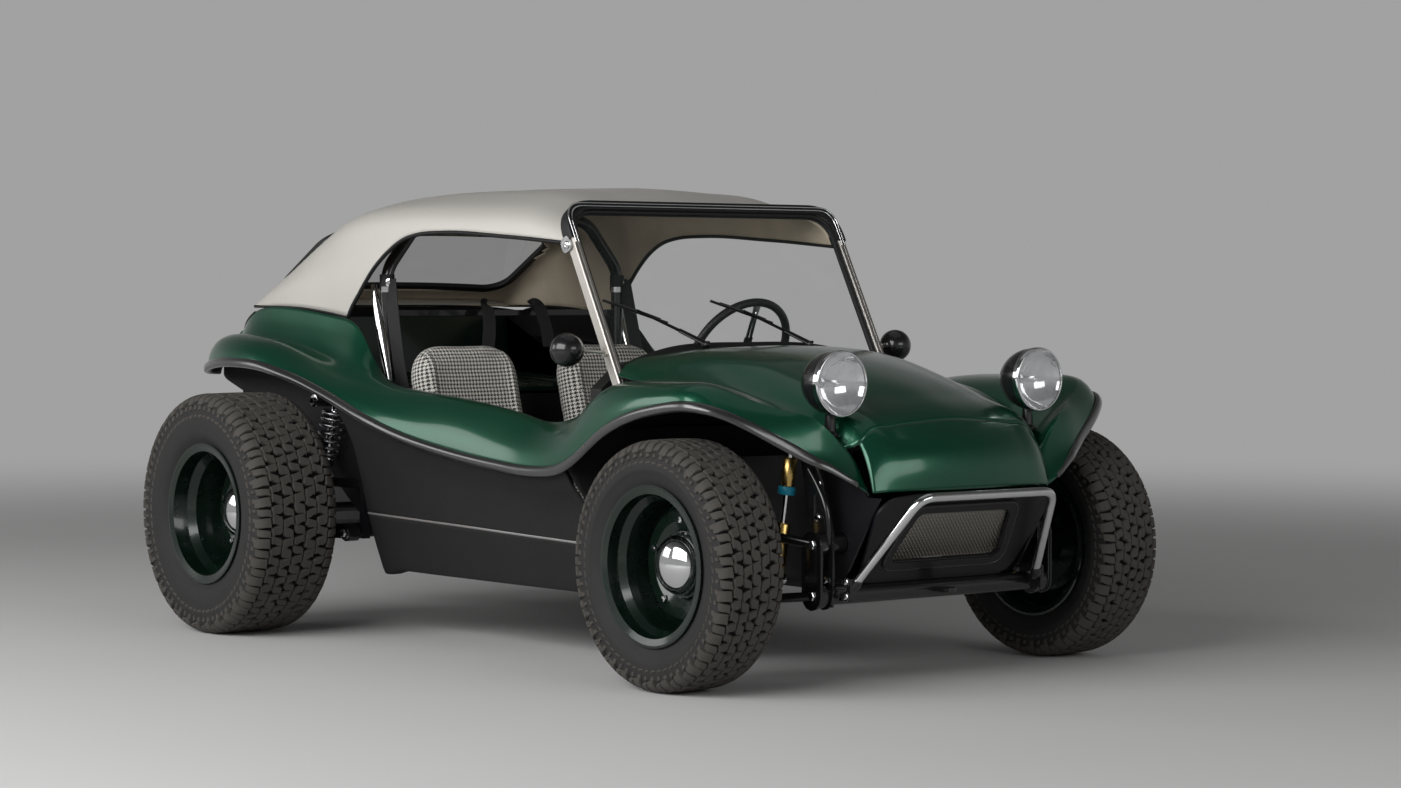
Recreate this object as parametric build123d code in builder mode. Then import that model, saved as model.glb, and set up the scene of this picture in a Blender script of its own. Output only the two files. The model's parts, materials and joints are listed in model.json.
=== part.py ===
from build123d import *
from math import atan2, cos, degrees, hypot, pi, radians, sin
import os

os.makedirs("parts", exist_ok=True)

# Millimetres. X is forward, Y is left, Z is up, and the origin is on the ground under the middle
# of the overall length.
overall_length = 3202
wheelbase = 2032
front_axle_x = 1116
rear_axle_x = front_axle_x - wheelbase

# Wheels: 16 inch steel rims, deep dished to the outside.
rim_flange_r = 221
rim_seat_r = 203
rim_well_r = 186
rim_wall = 7
front_tyre_r = 343
front_tyre_w = 215
front_rim_w = 190
front_rim_face_y = 810
rear_tyre_r = 379
rear_tyre_w = 285
rear_rim_w = 254
rear_rim_face_y = 1014
seat_gap = 0.3
run_gap = 0.05

# Steering and front suspension.
kingpin_y = 585
kingpin_r = 11
spindle_r = 17
hub_r = 42
steer_arm_back = 126
steer_arm_in = 45
steer_arm_z = 300
rack_half = 215
rack_x = front_axle_x - steer_arm_back
rack_z = steer_arm_z + 24
tie_rod_r = 9
beam_x = 1352
beam_low_z = 258
beam_high_z = 398
beam_tube_r = 27
beam_half = 405
tow_x = 1430
tow_bore_r = 11
tow_t = 12
damper_r = 20

# Shell, glass and tube walls.
skin = 8
nose_thin_x = 1400
skirt_wall = 12
glass_t = 5
bumper_tube_r = 13
roll_tube_r = 20

# Cabin.
floor_z = 214
floor_t = 12
tunnel_h = 150
seat_y = 285
seat_w = 450
tunnel_w = 2 * (seat_y - seat_w / 2) - 6
wheel_ring_r = 178
wheel_grip_r = 13


def offset_points(points, depth):
    """Moves a polyline of (y, z) points inward by depth along its mitred normals."""
    moved = []
    last = len(points) - 1
    for i, (y, z) in enumerate(points):
        a = points[max(i - 1, 0)]
        b = points[i]
        c = points[min(i + 1, last)]
        n1 = normal(a, b) if i > 0 else normal(b, c)
        n2 = normal(b, c) if i < last else n1
        ny, nz = n1[0] + n2[0], n1[1] + n2[1]
        size = hypot(ny, nz)
        ny, nz = ny / size, nz / size
        mitre = max(0.6, ny * n1[0] + nz * n1[1])
        moved.append((y + ny * depth / mitre, z + nz * depth / mitre))
    return moved


def normal(a, b):
    """Unit normal of the step from a to b, pointing down for a step to +y."""
    dy, dz = b[0] - a[0], b[1] - a[1]
    size = hypot(dy, dz)
    return dz / size, -dy / size


def strip(points, depth):
    """Closed outline of a skin of the given depth under a polyline."""
    return points + offset_points(points, depth)[::-1]


# Side moulding of the tub, left half. Each row is a station: x, then seven (y, z) points from the
# inner edge over the crest to the outer lip.
side_stations = [
    (-1500, (520, 945), (532, 925), (552, 900), (575, 880), (592, 865), (604, 845), (610, 825)),
    (-1450, (538, 980), (554, 945), (588, 905), (630, 895), (658, 880), (676, 858), (684, 828)),
    (-1390, (545, 1010), (562, 965), (600, 925), (664, 925), (697, 907), (717, 878), (727, 836)),
    (-1300, (548, 1026), (566, 972), (602, 930), (680, 937), (720, 920), (746, 888), (757, 850)),
    (-1163, (550, 1026), (568, 962), (604, 920), (688, 936), (734, 922), (767, 893), (782, 859)),
    (-950, (552, 1008), (570, 950), (606, 898), (684, 905), (734, 893), (764, 873), (778, 850)),
    (-840, (553, 996), (572, 932), (608, 876), (672, 868), (716, 856), (748, 842), (765, 827)),
    (-750, (556, 985), (580, 925), (614, 862), (662, 842), (704, 830), (736, 818), (753, 805)),
    (-690, (560, 945), (590, 900), (624, 850), (658, 824), (696, 810), (728, 798), (747, 786)),
    (-600, (564, 836), (594, 838), (624, 826), (652, 806), (688, 788), (717, 772), (734, 757)),
    (-454, (570, 778), (598, 790), (625, 788), (652, 774), (682, 752), (704, 728), (718, 703)),
    (-302, (575, 764), (600, 776), (625, 773), (650, 757), (676, 730), (698, 696), (710, 660)),
    (0, (580, 742), (604, 753), (628, 747), (650, 728), (672, 698), (690, 656), (700, 608)),
    (250, (585, 714), (608, 724), (630, 716), (652, 697), (674, 667), (694, 628), (705, 585)),
    (400, (588, 692), (610, 700), (632, 694), (655, 678), (680, 652), (700, 618), (713, 577)),
    (500, (590, 706), (612, 715), (634, 709), (660, 692), (687, 662), (708, 624), (720, 579)),
    (610, (583, 742), (607, 752), (636, 748), (666, 732), (697, 700), (721, 655), (733, 594)),
    (660, (556, 783), (598, 785), (640, 780), (672, 765), (704, 735), (728, 684), (739, 614)),
    (710, (533, 815), (588, 815), (640, 811), (678, 800), (711, 772), (734, 715), (744, 638)),
    (810, (512, 812.8), (560, 820), (628, 830), (684, 828), (723, 808), (746, 760), (756, 694)),
    (950, (498, 800), (555, 820), (628, 833), (690, 835), (732, 824), (757, 793), (766, 748)),
    (1090, (470, 775), (540, 812), (625, 834), (690, 838), (735, 828), (761, 805), (768, 776)),
    (1237, (425, 735), (500, 785), (590, 816), (700, 835), (730, 826), (749, 811), (760, 789)),
    (1327, (395, 690), (440, 718), (505, 750), (576, 777), (615, 770), (650, 762), (682, 752)),
    (1405, (365, 650), (385, 673), (415, 702), (450, 729), (480, 712), (506, 690), (528, 666)),
    (1430, (352, 630), (359, 637), (366, 643), (374, 647), (410, 643), (444, 637), (476, 631)),
    (1453, (338, 570), (342, 575), (347, 579), (353, 583), (382, 590), (410, 597), (436, 603)),
    (1475, (336, 536), (341, 540), (347, 544), (354, 547), (363, 552), (371, 558), (380, 564)),
]

# Hood, as profiles across Y. Each row is y, then eight (x, z) points from the cowl to the nose lip.
hood_profiles = [
    (0, (566, 916), (700, 925), (920, 905), (1120, 862), (1300, 803), (1430, 740), (1515, 645), (1528, 544)),
    (110, (566, 915), (700, 923), (915, 903), (1112, 860), (1290, 800), (1424, 738), (1510, 645), (1523, 544)),
    (220, (567, 912), (700, 918), (905, 896), (1095, 851), (1270, 794), (1415, 733), (1492, 646), (1510, 544)),
    (300, (570, 906), (690, 910), (885, 889), (1070, 842), (1250, 784), (1405, 726), (1470, 646), (1496, 543)),
    (334, (572, 902), (680, 904), (870, 881), (1050, 832), (1230, 774), (1390, 712), (1446, 646), (1486, 542)),
]
# The hood's flanks, from its shoulder down to the valley beside the fender.
flank_profiles = [
    (334, (572, 902), (660, 904), (800, 892), (940, 862), (1080, 824), (1200, 783), (1320, 740), (1428, 668)),
    (352, (573, 900), (655, 901), (790, 888), (920, 858), (1050, 822), (1170, 780), (1290, 732), (1404, 660)),
    (392, (576, 896), (640, 895), (750, 880), (860, 855), (970, 826), (1080, 792), (1200, 752), (1312, 702)),
    (440, (580, 888), (630, 884), (710, 869), (800, 851), (890, 832), (980, 811.5), (1070, 789.5), (1160, 766)),
    (495, (590, 868), (625, 862), (670, 854), (720, 844), (770, 836), (825, 829), (880, 821), (935, 812)),
    (528, (604, 842), (620, 839), (640, 836), (660, 833.6), (680, 831.6), (700, 830), (720, 828.8), (735, 828.2)),
]


def section(plane, outline):
    """A closed outline on a plane, as a face that keeps all its corners."""
    with BuildLine(plane) as line:
        Polyline(*outline, close=True)
    return Face(Wire(line.edges()))


def skin_loft(sections):
    """Straight-sided lofts from each section to the next, joined; for use inside a part."""
    for near, far in zip(sections, sections[1:]):
        loft(sections=[near, far], ruled=True)


def mirrored(part):
    """The same piece on the right side."""
    return part.mirror(Plane.XZ)


def save(part, name):
    part.label = name
    export_step(part, f"parts/{name}.step")


def rod(start, end, radius):
    """A round bar from start to end."""
    step = Vector(*end) - Vector(*start)
    with BuildPart() as bar:
        with BuildSketch(Plane(origin=start, z_dir=step)):
            Circle(radius)
        extrude(amount=step.length)
    return bar.part


# Tub sides.
with BuildPart() as tub_left:
    sections = []
    for x, *points in side_stations:
        depth = skin / 2 if x > nose_thin_x else skin
        sections.append(section(Plane.YZ.offset(x), strip(points, depth)))
    loft(sections=sections, ruled=True)
save(tub_left.part + mirrored(tub_left.part), "tub_sides")

# Black moulding along the whole lower edge of the tub. Columns: distance past the lip, depth inward.
moulding_outline = [(0.7, -4), (12, -9), (22, -8), (27, -2), (26, 7), (0.7, 8)]
with BuildPart() as edge_moulding:
    sections = []
    for x, *points in side_stations:
        (y1, z1), (y2, z2) = points[-2], points[-1]
        size = hypot(y2 - y1, z2 - z1)
        uy, uz = (y2 - y1) / size, (z2 - z1) / size
        ny, nz = normal((y1, z1), (y2, z2))
        grow = 0.45 if x > nose_thin_x + 60 else 1
        shift = 1.4 if x > 1200 else 0
        outline = [(y2 + (uy * (u + shift) + ny * n) * grow, z2 + (uz * (u + shift) + nz * n) * grow)
                   for u, n in moulding_outline]
        sections.append(section(Plane.YZ.offset(x), outline))
    loft(sections=sections, ruled=True)
save(edge_moulding.part + mirrored(edge_moulding.part), "edge_mouldings")

# Hood: bulged centre and its two flanks.
with BuildPart() as hood:
    centre = [(-y, *points) for y, *points in hood_profiles[:0:-1]] + hood_profiles
    sections = [section(Plane.XZ.offset(-y), strip(points, skin)) for y, *points in centre]
    skin_loft(sections)
with BuildPart() as flank:
    sections = [section(Plane.XZ.offset(-y), strip(points, skin)) for y, *points in flank_profiles]
    skin_loft(sections)
save(hood.part + flank.part + mirrored(flank.part), "hood")

# Black lower sides of the tub, hung inside the moulding. Columns: x, then outer points (y, z) below it.
skirt_stations = [
    (-840, (714, 742), (688, 692), (663, 642), (640, 600)),
    (-750, (712, 735), (686, 680), (655, 600), (634, 500)),
    (-690, (706, 720), (676, 650), (650, 570), (612, 386)),
    (-600, (692, 690), (664, 620), (640, 530), (612, 384), (566, 216)),
    (-454, (678, 640), (656, 580), (636, 510), (612, 381), (566, 217)),
    (-302, (672, 600), (650, 550), (634, 490), (612, 378), (566, 217)),
    (0, (664, 550), (645, 515), (630, 470), (611, 372), (566, 218)),
    (250, (668, 530), (645, 495), (630, 455), (610, 366), (566, 219)),
    (400, (674, 522), (648, 485), (630, 450), (609, 363), (566, 220)),
    (500, (682, 522), (652, 485), (632, 448), (609, 361), (566, 220)),
    (610, (694, 535), (660, 495), (636, 452), (608, 360), (566, 221)),
]
skirt_rear = [(-850, 800), (-770, 610), (-606, 386), (-581, 200), (-900, 200), (-900, 800)]
with BuildPart() as skirt:
    sections = []
    lips = {x: points[-2:] for x, *points in side_stations}
    for x, *points in skirt_stations:
        (y1, z1), (y2, z2) = lips[x]
        size = hypot(y2 - y1, z2 - z1)
        ny, nz = normal((y1, z1), (y2, z2))
        top = (y2 + (y2 - y1) / size * 6 + ny * (skin + 1), z2 + (z2 - z1) / size * 6 + nz * (skin + 1))
        points = [top] + points
        if len(points) < 6:
            points += [(points[-1][0] - 40, points[-1][1] - 60)] * (6 - len(points))
        sections.append(section(Plane.YZ.offset(x), strip(points, skirt_wall)))
    skin_loft(sections)
    with BuildSketch(Plane.XZ.offset(-1000)):
        with BuildLine():
            Polyline(*skirt_rear, close=True)
        make_face()
    extrude(amount=1000, mode=Mode.SUBTRACT)
save(skirt.part + mirrored(skirt.part), "side_skirts")

# Chassis: floor, tunnel, front and rear bulkheads.
floor_front_x = 628
floor_rear_x = -560
head_w = 190
nose_floor_z = 290
nose_floor_t = 6
bulkhead_t = 10
floor_half = 553.5
with BuildPart() as floor_pan:
    with BuildSketch(Plane.XY.offset(floor_z)):
        with BuildLine():
            Polyline((floor_rear_x, floor_half), (floor_front_x, floor_half), (floor_front_x + 60, 330),
                     (floor_front_x + 60, -330), (floor_front_x, -floor_half), (floor_rear_x, -floor_half), close=True)
        make_face()
    extrude(amount=floor_t)
    with BuildSketch(Plane.YZ.offset(floor_rear_x)):
        with Locations((0, floor_z + tunnel_h / 2 + floor_t)):
            RectangleRounded(tunnel_w, tunnel_h, tunnel_w / 4)
    extrude(amount=floor_front_x - floor_rear_x)
    with BuildSketch(Plane.XZ.offset(-floor_half)):
        with BuildLine():
            Polyline((floor_rear_x, floor_z), (floor_rear_x + bulkhead_t, floor_z), (-670, 742), (-680, 742), close=True)
        make_face()
    extrude(amount=2 * floor_half)
    with BuildSketch(Plane.XZ.offset(-520)):
        with BuildLine():
            Polyline((floor_front_x - bulkhead_t, floor_z), (floor_front_x, floor_z), (floor_front_x + 12, 690),
                     (floor_front_x, 690), close=True)
        make_face()
    extrude(amount=1040)
    with BuildSketch(Plane.XY.offset(beam_low_z - beam_tube_r)):
        with Locations(((floor_front_x - 30 + beam_x - beam_tube_r - seat_gap) / 2, 0)):
            Rectangle(beam_x - beam_tube_r - seat_gap - floor_front_x + 30, head_w)
    extrude(amount=nose_floor_z - seat_gap - beam_low_z + beam_tube_r)
save(floor_pan.part, "floor_pan")

# Nose: black box under the hood, with the grille opening in its sloping face.
nose_half_low = 282
nose_face = [(1524, 532), (1365, 284)]
nose_wall = 8
nose_bend = 60
# Grille opening and the raised frame round it. Columns: distance across, distance up the face.
grille_corners = [(211, 70), (172, 236), (-172, 236), (-211, 70)]
grille_frame = 26
grille_rib = 7
face_run = hypot(nose_face[0][0] - nose_face[1][0], nose_face[0][1] - nose_face[1][1])
face_up = ((nose_face[0][0] - nose_face[1][0]) / face_run, 0, (nose_face[0][1] - nose_face[1][1]) / face_run)
face_plane = Plane((nose_face[1][0], 0, nose_face[1][1]), x_dir=(0, 1, 0), z_dir=(face_up[2], 0, -face_up[0]))
with BuildPart() as nose_panel:
    with BuildSketch(face_plane):
        with BuildLine():
            Polyline((nose_half_low, 0), (334, face_run - 14), (200, face_run), (-200, face_run), (-334, face_run - 14),
                     (-nose_half_low, 0), close=True)
        make_face()
        fillet(vertices().group_by(Axis.Z)[0], nose_bend)
    extrude(amount=-nose_wall)
    with BuildSketch(face_plane):
        with BuildLine():
            Polyline(*grille_corners, close=True)
        make_face()
        fillet(vertices(), 28)
        offset(amount=grille_frame)
    extrude(amount=grille_rib)
    with BuildSketch(face_plane):
        with BuildLine():
            Polyline(*grille_corners, close=True)
        make_face()
        fillet(vertices(), 28)
    extrude(amount=3 * nose_wall, both=True, mode=Mode.SUBTRACT)
    with BuildSketch(Plane.XZ.offset(-330)):
        with BuildLine():
            Polyline((660, 600), (1300, 640), (1400, 600), (1460, 528), (1508, 528), (nose_face[1][0] + 14, 322),
                     (nose_face[1][0] - 22, nose_floor_z), (900, nose_floor_z), (700, 300), close=True)
        make_face()
    extrude(amount=nose_wall)
    with BuildSketch(Plane.XZ.offset(-330)):
        with Locations((rack_x + 6, rack_z)):
            SlotOverall(124, 48)
        with Locations((beam_x, beam_high_z)):
            Circle(beam_tube_r + 2)
    extrude(amount=nose_wall, mode=Mode.SUBTRACT)
    mirror(about=Plane.XZ)
    with BuildSketch(Plane.XY.offset(nose_floor_z)):
        with BuildLine():
            Polyline((900, 330), (nose_face[1][0] - 30, 330), (nose_face[1][0] - 2, nose_half_low - nose_bend),
                     (nose_face[1][0] - 2, nose_bend - nose_half_low), (nose_face[1][0] - 30, -330), (900, -330), close=True)
        make_face()
    extrude(amount=nose_floor_t)
save(nose_panel.part, "nose_panel")

grille_t = 5
with BuildPart() as grille:
    with BuildSketch(face_plane.offset(-nose_wall - 1)):
        with BuildLine():
            Polyline(*[(y + (8 if y > 0 else -8), s + (6 if s > 100 else -6)) for y, s in grille_corners], close=True)
        make_face()
        fillet(vertices(), 28)
        with GridLocations(36, 24, 14, 9):
            RectangleRounded(24, 13, 3, mode=Mode.SUBTRACT)
    extrude(amount=-grille_t)
save(grille.part, "grille")

# Front bumper hoop.
with BuildPart() as front_bumper:
    with BuildLine() as route:
        FilletPolyline((1424, -342, 294), (1588, -250, 531), (1588, 250, 531), (1424, 342, 294), radius=60)
    with BuildSketch(Plane(origin=route.line @ 0, z_dir=route.line % 0)):
        Circle(bumper_tube_r)
    sweep(path=route.line)
save(front_bumper.part, "front_bumper")

# Windscreen: frame and glass in one raked plane. Local x is across, local y runs up the glass.
screen_foot = (596, 814)
screen_head = (380, 1215)
screen_len = hypot(screen_foot[0] - screen_head[0], screen_head[1] - screen_foot[1])
screen_up = ((screen_head[0] - screen_foot[0]) / screen_len, (screen_head[1] - screen_foot[1]) / screen_len)
screen_plane = Plane((screen_foot[0], 0, screen_foot[1]), x_dir=(0, 1, 0), z_dir=(screen_up[1], 0, -screen_up[0]))
screen_half = 530
screen_top = 598
screen_inner = [(-504, 58), (-300, 116), (0, 131), (300, 116), (504, 58), (504, 486), (418, 570), (-418, 570), (-504, 486)]
frame_t = 24
with BuildPart() as windscreen_frame:
    with BuildSketch(screen_plane.offset(-frame_t / 2)) as outline:
        with BuildLine():
            Polyline((-screen_half, -48), (-502, -48), (-502, 30), (-300, 90), (0, 104), (300, 90), (502, 30), (502, -48),
                     (screen_half, -48), (screen_half, 500), (430, screen_top), (-430, screen_top), (-screen_half, 500),
                     close=True)
        make_face()
        fillet(outline.vertices().sort_by(Axis.Y)[-4:], 60)
        with BuildSketch(mode=Mode.SUBTRACT) as hole:
            with BuildLine():
                Polyline(*screen_inner, close=True)
            make_face()
            fillet(hole.vertices().sort_by(Axis.Y)[-4:], 40)
    extrude(amount=frame_t)
save(windscreen_frame.part, "windscreen_frame")

with BuildPart() as windscreen_glass:
    with BuildSketch(screen_plane.offset(-glass_t / 2)):
        with BuildSketch() as pane:
            with BuildLine():
                Polyline(*screen_inner, close=True)
            make_face()
            fillet(pane.vertices().sort_by(Axis.Y)[-4:], 40)
            offset(amount=-seat_gap)
    extrude(amount=glass_t)

# Hardtop. Columns: x, then half-section points (y, z) from the lower edge to the roof's centre.
hardtop_stations = [
    (-1440, (515, 1027), (502, 1040), (470, 1048), (380, 1052), (200, 1055), (0, 1056)),
    (-1386, (523, 1027), (507, 1062), (472, 1079), (380, 1083), (200, 1086), (0, 1087)),
    (-1242, (535, 1027), (517, 1110), (476, 1151), (392, 1159), (200, 1165), (0, 1167)),
    (-1093, (538, 1023), (520, 1150), (480, 1224), (402, 1239), (200, 1247), (0, 1250)),
    (-1000, (538, 1016), (521, 1170), (484, 1264), (410, 1287), (200, 1300), (0, 1304)),
    (-900, (538, 1006), (523, 1190), (488, 1302), (412, 1330), (200, 1350), (0, 1357)),
    (-760, (538, 988), (525, 1200), (492, 1327), (414, 1357), (200, 1380), (0, 1388)),
    (-600, (538, 988), (526, 1205), (494, 1336), (414, 1370), (200, 1392), (0, 1401)),
    (-200, (537, 988), (526, 1205), (496, 1332), (414, 1374), (200, 1399), (0, 1407)),
    (200, (534, 988), (525, 1200), (496, 1312), (414, 1356), (200, 1378), (0, 1386)),
    (400, (532, 988), (525, 1190), (494, 1276), (414, 1318), (200, 1334), (0, 1340)),
]
side_window = [(-836, 960), (-827, 988), (-671, 1161), (-616, 1201), (-525, 1249), (-453, 1263), (-303, 1265), (18, 1249),
               (224, 1236), (440, 1220), (440, 960)]
hardtop_wall = 14
rear_window_w = 800
rear_window_h = 368
rear_window_r = 70
slope = [(-1386, 1087), (-1047, 1277)]
slope_len = hypot(slope[1][0] - slope[0][0], slope[1][1] - slope[0][1])
slope_up = ((slope[1][0] - slope[0][0]) / slope_len, (slope[1][1] - slope[0][1]) / slope_len)
slope_mid = ((slope[0][0] + slope[1][0]) / 2, 0, (slope[0][1] + slope[1][1]) / 2)
slope_plane = Plane(slope_mid, x_dir=(0, -1, 0), z_dir=(-slope_up[1], 0, slope_up[0]))
with BuildPart() as hardtop:
    sections = []
    for x, *half in hardtop_stations:
        arch = [(-y, z) for y, z in half] + half[-2::-1]
        sections.append(section(Plane.YZ.offset(x), strip(arch, hardtop_wall)))
    skin_loft(sections)
    with BuildSketch(Plane.XZ.offset(-700)):
        with BuildLine():
            Polyline(*side_window, close=True)
        make_face()
    extrude(amount=1400, mode=Mode.SUBTRACT)
    with BuildSketch(slope_plane.offset(60)):
        RectangleRounded(rear_window_w, rear_window_h, rear_window_r)
    extrude(amount=-120, mode=Mode.SUBTRACT)
    split(bisect_by=screen_plane.offset(-frame_t / 2 - 0.5), keep=Keep.BOTTOM)
save(hardtop.part, "hardtop")

with BuildPart() as rear_window:
    with BuildSketch(slope_plane.offset(-hardtop_wall)):
        RectangleRounded(rear_window_w - 2 * seat_gap, rear_window_h - 2 * seat_gap, rear_window_r)
    extrude(amount=glass_t)
save(windscreen_glass.part + rear_window.part, "window_panes")

# Rear deck: luggage shelf, rails that carry the hardtop, and the sloping tail.
rail_outer = 537.6
rail_inner = 500.3
with BuildPart() as rear_deck:
    with BuildSketch(Plane.XZ.offset(rail_inner)):
        with BuildLine():
            Polyline((-684, 752), (-684, 766), (-1396, 800), (-1424, 1014), (-1448, 1024), (-1556, 930), (-1572, 800),
                     (-1556, 700), (-1546, 700), (-1562, 800), (-1548, 926), (-1446, 1012), (-1434, 1008), (-1404, 788),
                     close=True)
        make_face()
    extrude(amount=-2 * rail_inner)
    with BuildSketch(Plane.XZ.offset(-rail_inner)):
        with BuildLine():
            Polyline((-690, 752), (-690, 900), (-745, 976), (-840, 986), (-950, 999), (-1093, 1014), (-1242, 1020),
                     (-1386, 1006), (-1400, 996), (-1400, 800), (-1300, 770), close=True)
        make_face()
    extrude(amount=-(rail_outer - rail_inner))
    mirror(about=Plane.XZ)
save(rear_deck.part, "rear_deck")

# Dashboard with brackets for the windscreen's feet.
with BuildPart() as dashboard:
    with BuildSketch(Plane.YZ.offset(470)):
        with BuildLine():
            Polyline((-528, 745), (-528, 800), (-440, 872), (-300, 890), (0, 903), (300, 890), (440, 872), (528, 800),
                     (528, 745), close=True)
        make_face()
        fillet(vertices(), 12)
    extrude(amount=52)
    with BuildSketch(Plane.XY.offset(745)):
        with Locations((560, 512), (560, -512)):
            Rectangle(120, 32)
    extrude(amount=20.5)
save(dashboard.part, "dashboard")

# Roll bar behind the seats.
roll_x = -706
with BuildPart() as roll_bar:
    with BuildLine() as route:
        FilletPolyline((roll_x, -462, 768.4), (roll_x, -462, 1150), (roll_x, -330, 1318), (roll_x, 330, 1318),
                       (roll_x, 462, 1150), (roll_x, 462, 768.4), radius=110)
    with BuildSketch(Plane(origin=route.line @ 0, z_dir=route.line % 0)):
        Circle(roll_tube_r)
    sweep(path=route.line)
    with BuildSketch(Plane.YZ.offset(roll_x - 9)):
        with Locations((0, 1010)):
            Rectangle(900, 18)
    extrude(amount=18)
save(roll_bar.part, "roll_bar")

# Seats: closed solids for cushion and back.
with BuildPart() as seat_base:
    with BuildSketch(Plane.XZ.offset(-(seat_y - seat_w / 2))):
        with BuildLine():
            Polyline((-330, floor_z + floor_t + seat_gap), (120, floor_z + floor_t + seat_gap), (150, 300), (170, 420),
                     (120, 448), (-300, 404), (-361, 390), (-345, 330), close=True)
        make_face()
        fillet(vertices(), 18)
    extrude(amount=-seat_w)
save(seat_base.part + mirrored(seat_base.part), "seat_bases")
with BuildPart() as seat_back:
    with BuildSketch(Plane((-345.6, seat_y, 330), x_dir=(0, 1, 0), z_dir=(0.966, 0, 0.259))) as back:
        with Locations((0, 312)):
            Rectangle(seat_w - 20, 622)
        fillet(back.vertices().sort_by(Axis.Y)[-2:], 110)
        fillet(back.vertices().sort_by(Axis.Y)[:2], 30)
    extrude(amount=-105)
    fillet(seat_back.edges().group_by(Axis.Z)[-1], 20)
save(seat_back.part + mirrored(seat_back.part), "seat_backs")

# Steering column and wheel.
wheel_centre = Vector(160, seat_y, 895)
column_axis = Vector(-0.864, 0, 0.5035)
column_foot = Vector(612, seat_y, 895 - 0.5035 / 0.864 * (612 - 160))
column_top = wheel_centre - column_axis * 45
shaft_r = 11
with BuildPart() as steering_column:
    with BuildSketch(Plane(origin=column_foot, z_dir=column_axis)):
        Circle(22)
        Circle(shaft_r + run_gap, mode=Mode.SUBTRACT)
    extrude(amount=(column_top - column_foot).length)
    with BuildSketch(Plane.YZ.offset(474)):
        with Locations((seat_y, 735)):
            Rectangle(40, 19.4)
    extrude(amount=44)
save(steering_column.part, "steering_column")
with BuildPart() as steering_wheel:
    with BuildSketch(Plane(origin=wheel_centre, x_dir=(0, 1, 0), z_dir=(0.5035, 0, 0.864))):
        with Locations((wheel_ring_r, 0)):
            Circle(wheel_grip_r)
    revolve(axis=Axis(wheel_centre, column_axis))
    with BuildSketch(Plane(origin=wheel_centre - column_axis * 44.5, z_dir=column_axis)):
        Circle(34)
    extrude(amount=36)
    with BuildSketch(Plane(origin=wheel_centre - column_axis * 200, z_dir=column_axis)):
        Circle(shaft_r)
    extrude(amount=170)
    with BuildSketch(Plane(origin=wheel_centre - column_axis * 26, x_dir=(0, -1, 0), z_dir=column_axis)):
        with PolarLocations(0, 3, 90):
            with Locations((90, 0)):
                Rectangle(176, 26)
    extrude(amount=5)
    for angle in (90, 210, 330):
        y = cos(radians(angle)) * (wheel_ring_r - 3)
        up = sin(radians(angle)) * (wheel_ring_r - 3)
        tip = wheel_centre + Vector(0, y, 0) + Vector(0.5035, 0, 0.864) * up
        with BuildSketch(Plane(origin=tip - column_axis * 25, z_dir=column_axis)):
            Circle(9)
        extrude(amount=22)
save(steering_wheel.part, "steering_wheel")

# Headlamps on stalks, mirrors on the screen posts, and wipers.
lamp_x = 1401
lamp_y = 374.5
lamp_z = 836
lamp_r = 91.4
with BuildPart() as headlamp_bowls:
    with BuildSketch(Plane.XY.offset(lamp_z)):
        with BuildLine():
            Polyline((lamp_x - 4, lamp_y), (lamp_x - 4, lamp_y + lamp_r - 8), (lamp_x + 4, lamp_y + lamp_r - 6),
                     (lamp_x + 2, lamp_y + lamp_r), (lamp_x - 22, lamp_y + lamp_r), (lamp_x - 60, lamp_y + 84),
                     (lamp_x - 95, lamp_y + 64), (lamp_x - 122, lamp_y + 34), (lamp_x - 132, lamp_y), close=True)
        make_face()
    revolve(axis=Axis((0, lamp_y, lamp_z), (1, 0, 0)))
    with BuildSketch(Plane.XY.offset(690.2)):
        with Locations((lamp_x - 46, lamp_y)):
            Circle(12)
    extrude(amount=70)
    mirror(about=Plane.XZ)
save(headlamp_bowls.part, "headlamp_bowls")
with BuildPart() as headlamp_lenses:
    with BuildSketch(Plane.XY.offset(lamp_z)):
        with BuildLine():
            Polyline((lamp_x - 3.7, lamp_y), (lamp_x - 3.7, lamp_y + lamp_r - 8.5), (lamp_x + 4, lamp_y + lamp_r - 9),
                     (lamp_x + 11, lamp_y + 60), (lamp_x + 15, lamp_y + 30), (lamp_x + 16, lamp_y), close=True)
        make_face()
    revolve(axis=Axis((0, lamp_y, lamp_z), (1, 0, 0)))
    mirror(about=Plane.XZ)
save(headlamp_lenses.part, "headlamp_lenses")

mirror_ball_r = 49.5
mirror_at = (502, 636, 915)
with BuildPart() as mirrors:
    with Locations(mirror_at):
        Sphere(mirror_ball_r)
    add(rod((502, 600, 915), (545, screen_half + 3.6, 908), 6))
    mirror(about=Plane.XZ)
save(mirrors.part, "mirrors")

# Wipers lying on the glass. Columns: pivot across and up the screen.
wiper_pivots = [(-170, 116), (232, 113)]
wiper_reach = (-210, 118)
blade_half = (106, -38)
wiper_arm_r = 4
blade_r = 4.5
blade_lift = glass_t / 2 + seat_gap + blade_r
cap_top = frame_t / 2 + 17
with BuildPart() as wipers:
    for y, up in wiper_pivots:
        across = y + wiper_reach[0]
        high = up + wiper_reach[1]
        blade_low = screen_plane.from_local_coords((across - blade_half[0], high - blade_half[1], blade_lift))
        blade_high = screen_plane.from_local_coords((across + blade_half[0], high + blade_half[1], blade_lift))
        add(rod(blade_low, blade_high, blade_r))
        foot = screen_plane.from_local_coords((y, up, frame_t / 2 + seat_gap))
        cap = screen_plane.from_local_coords((y, up, cap_top))
        add(rod(foot, cap, 8))
        shoulder = screen_plane.from_local_coords((y, up, cap_top - wiper_arm_r - 1))
        hold = screen_plane.from_local_coords((across, high, blade_lift + 2))
        add(rod(shoulder, hold, wiper_arm_r))
save(wipers.part, "wipers")

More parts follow.
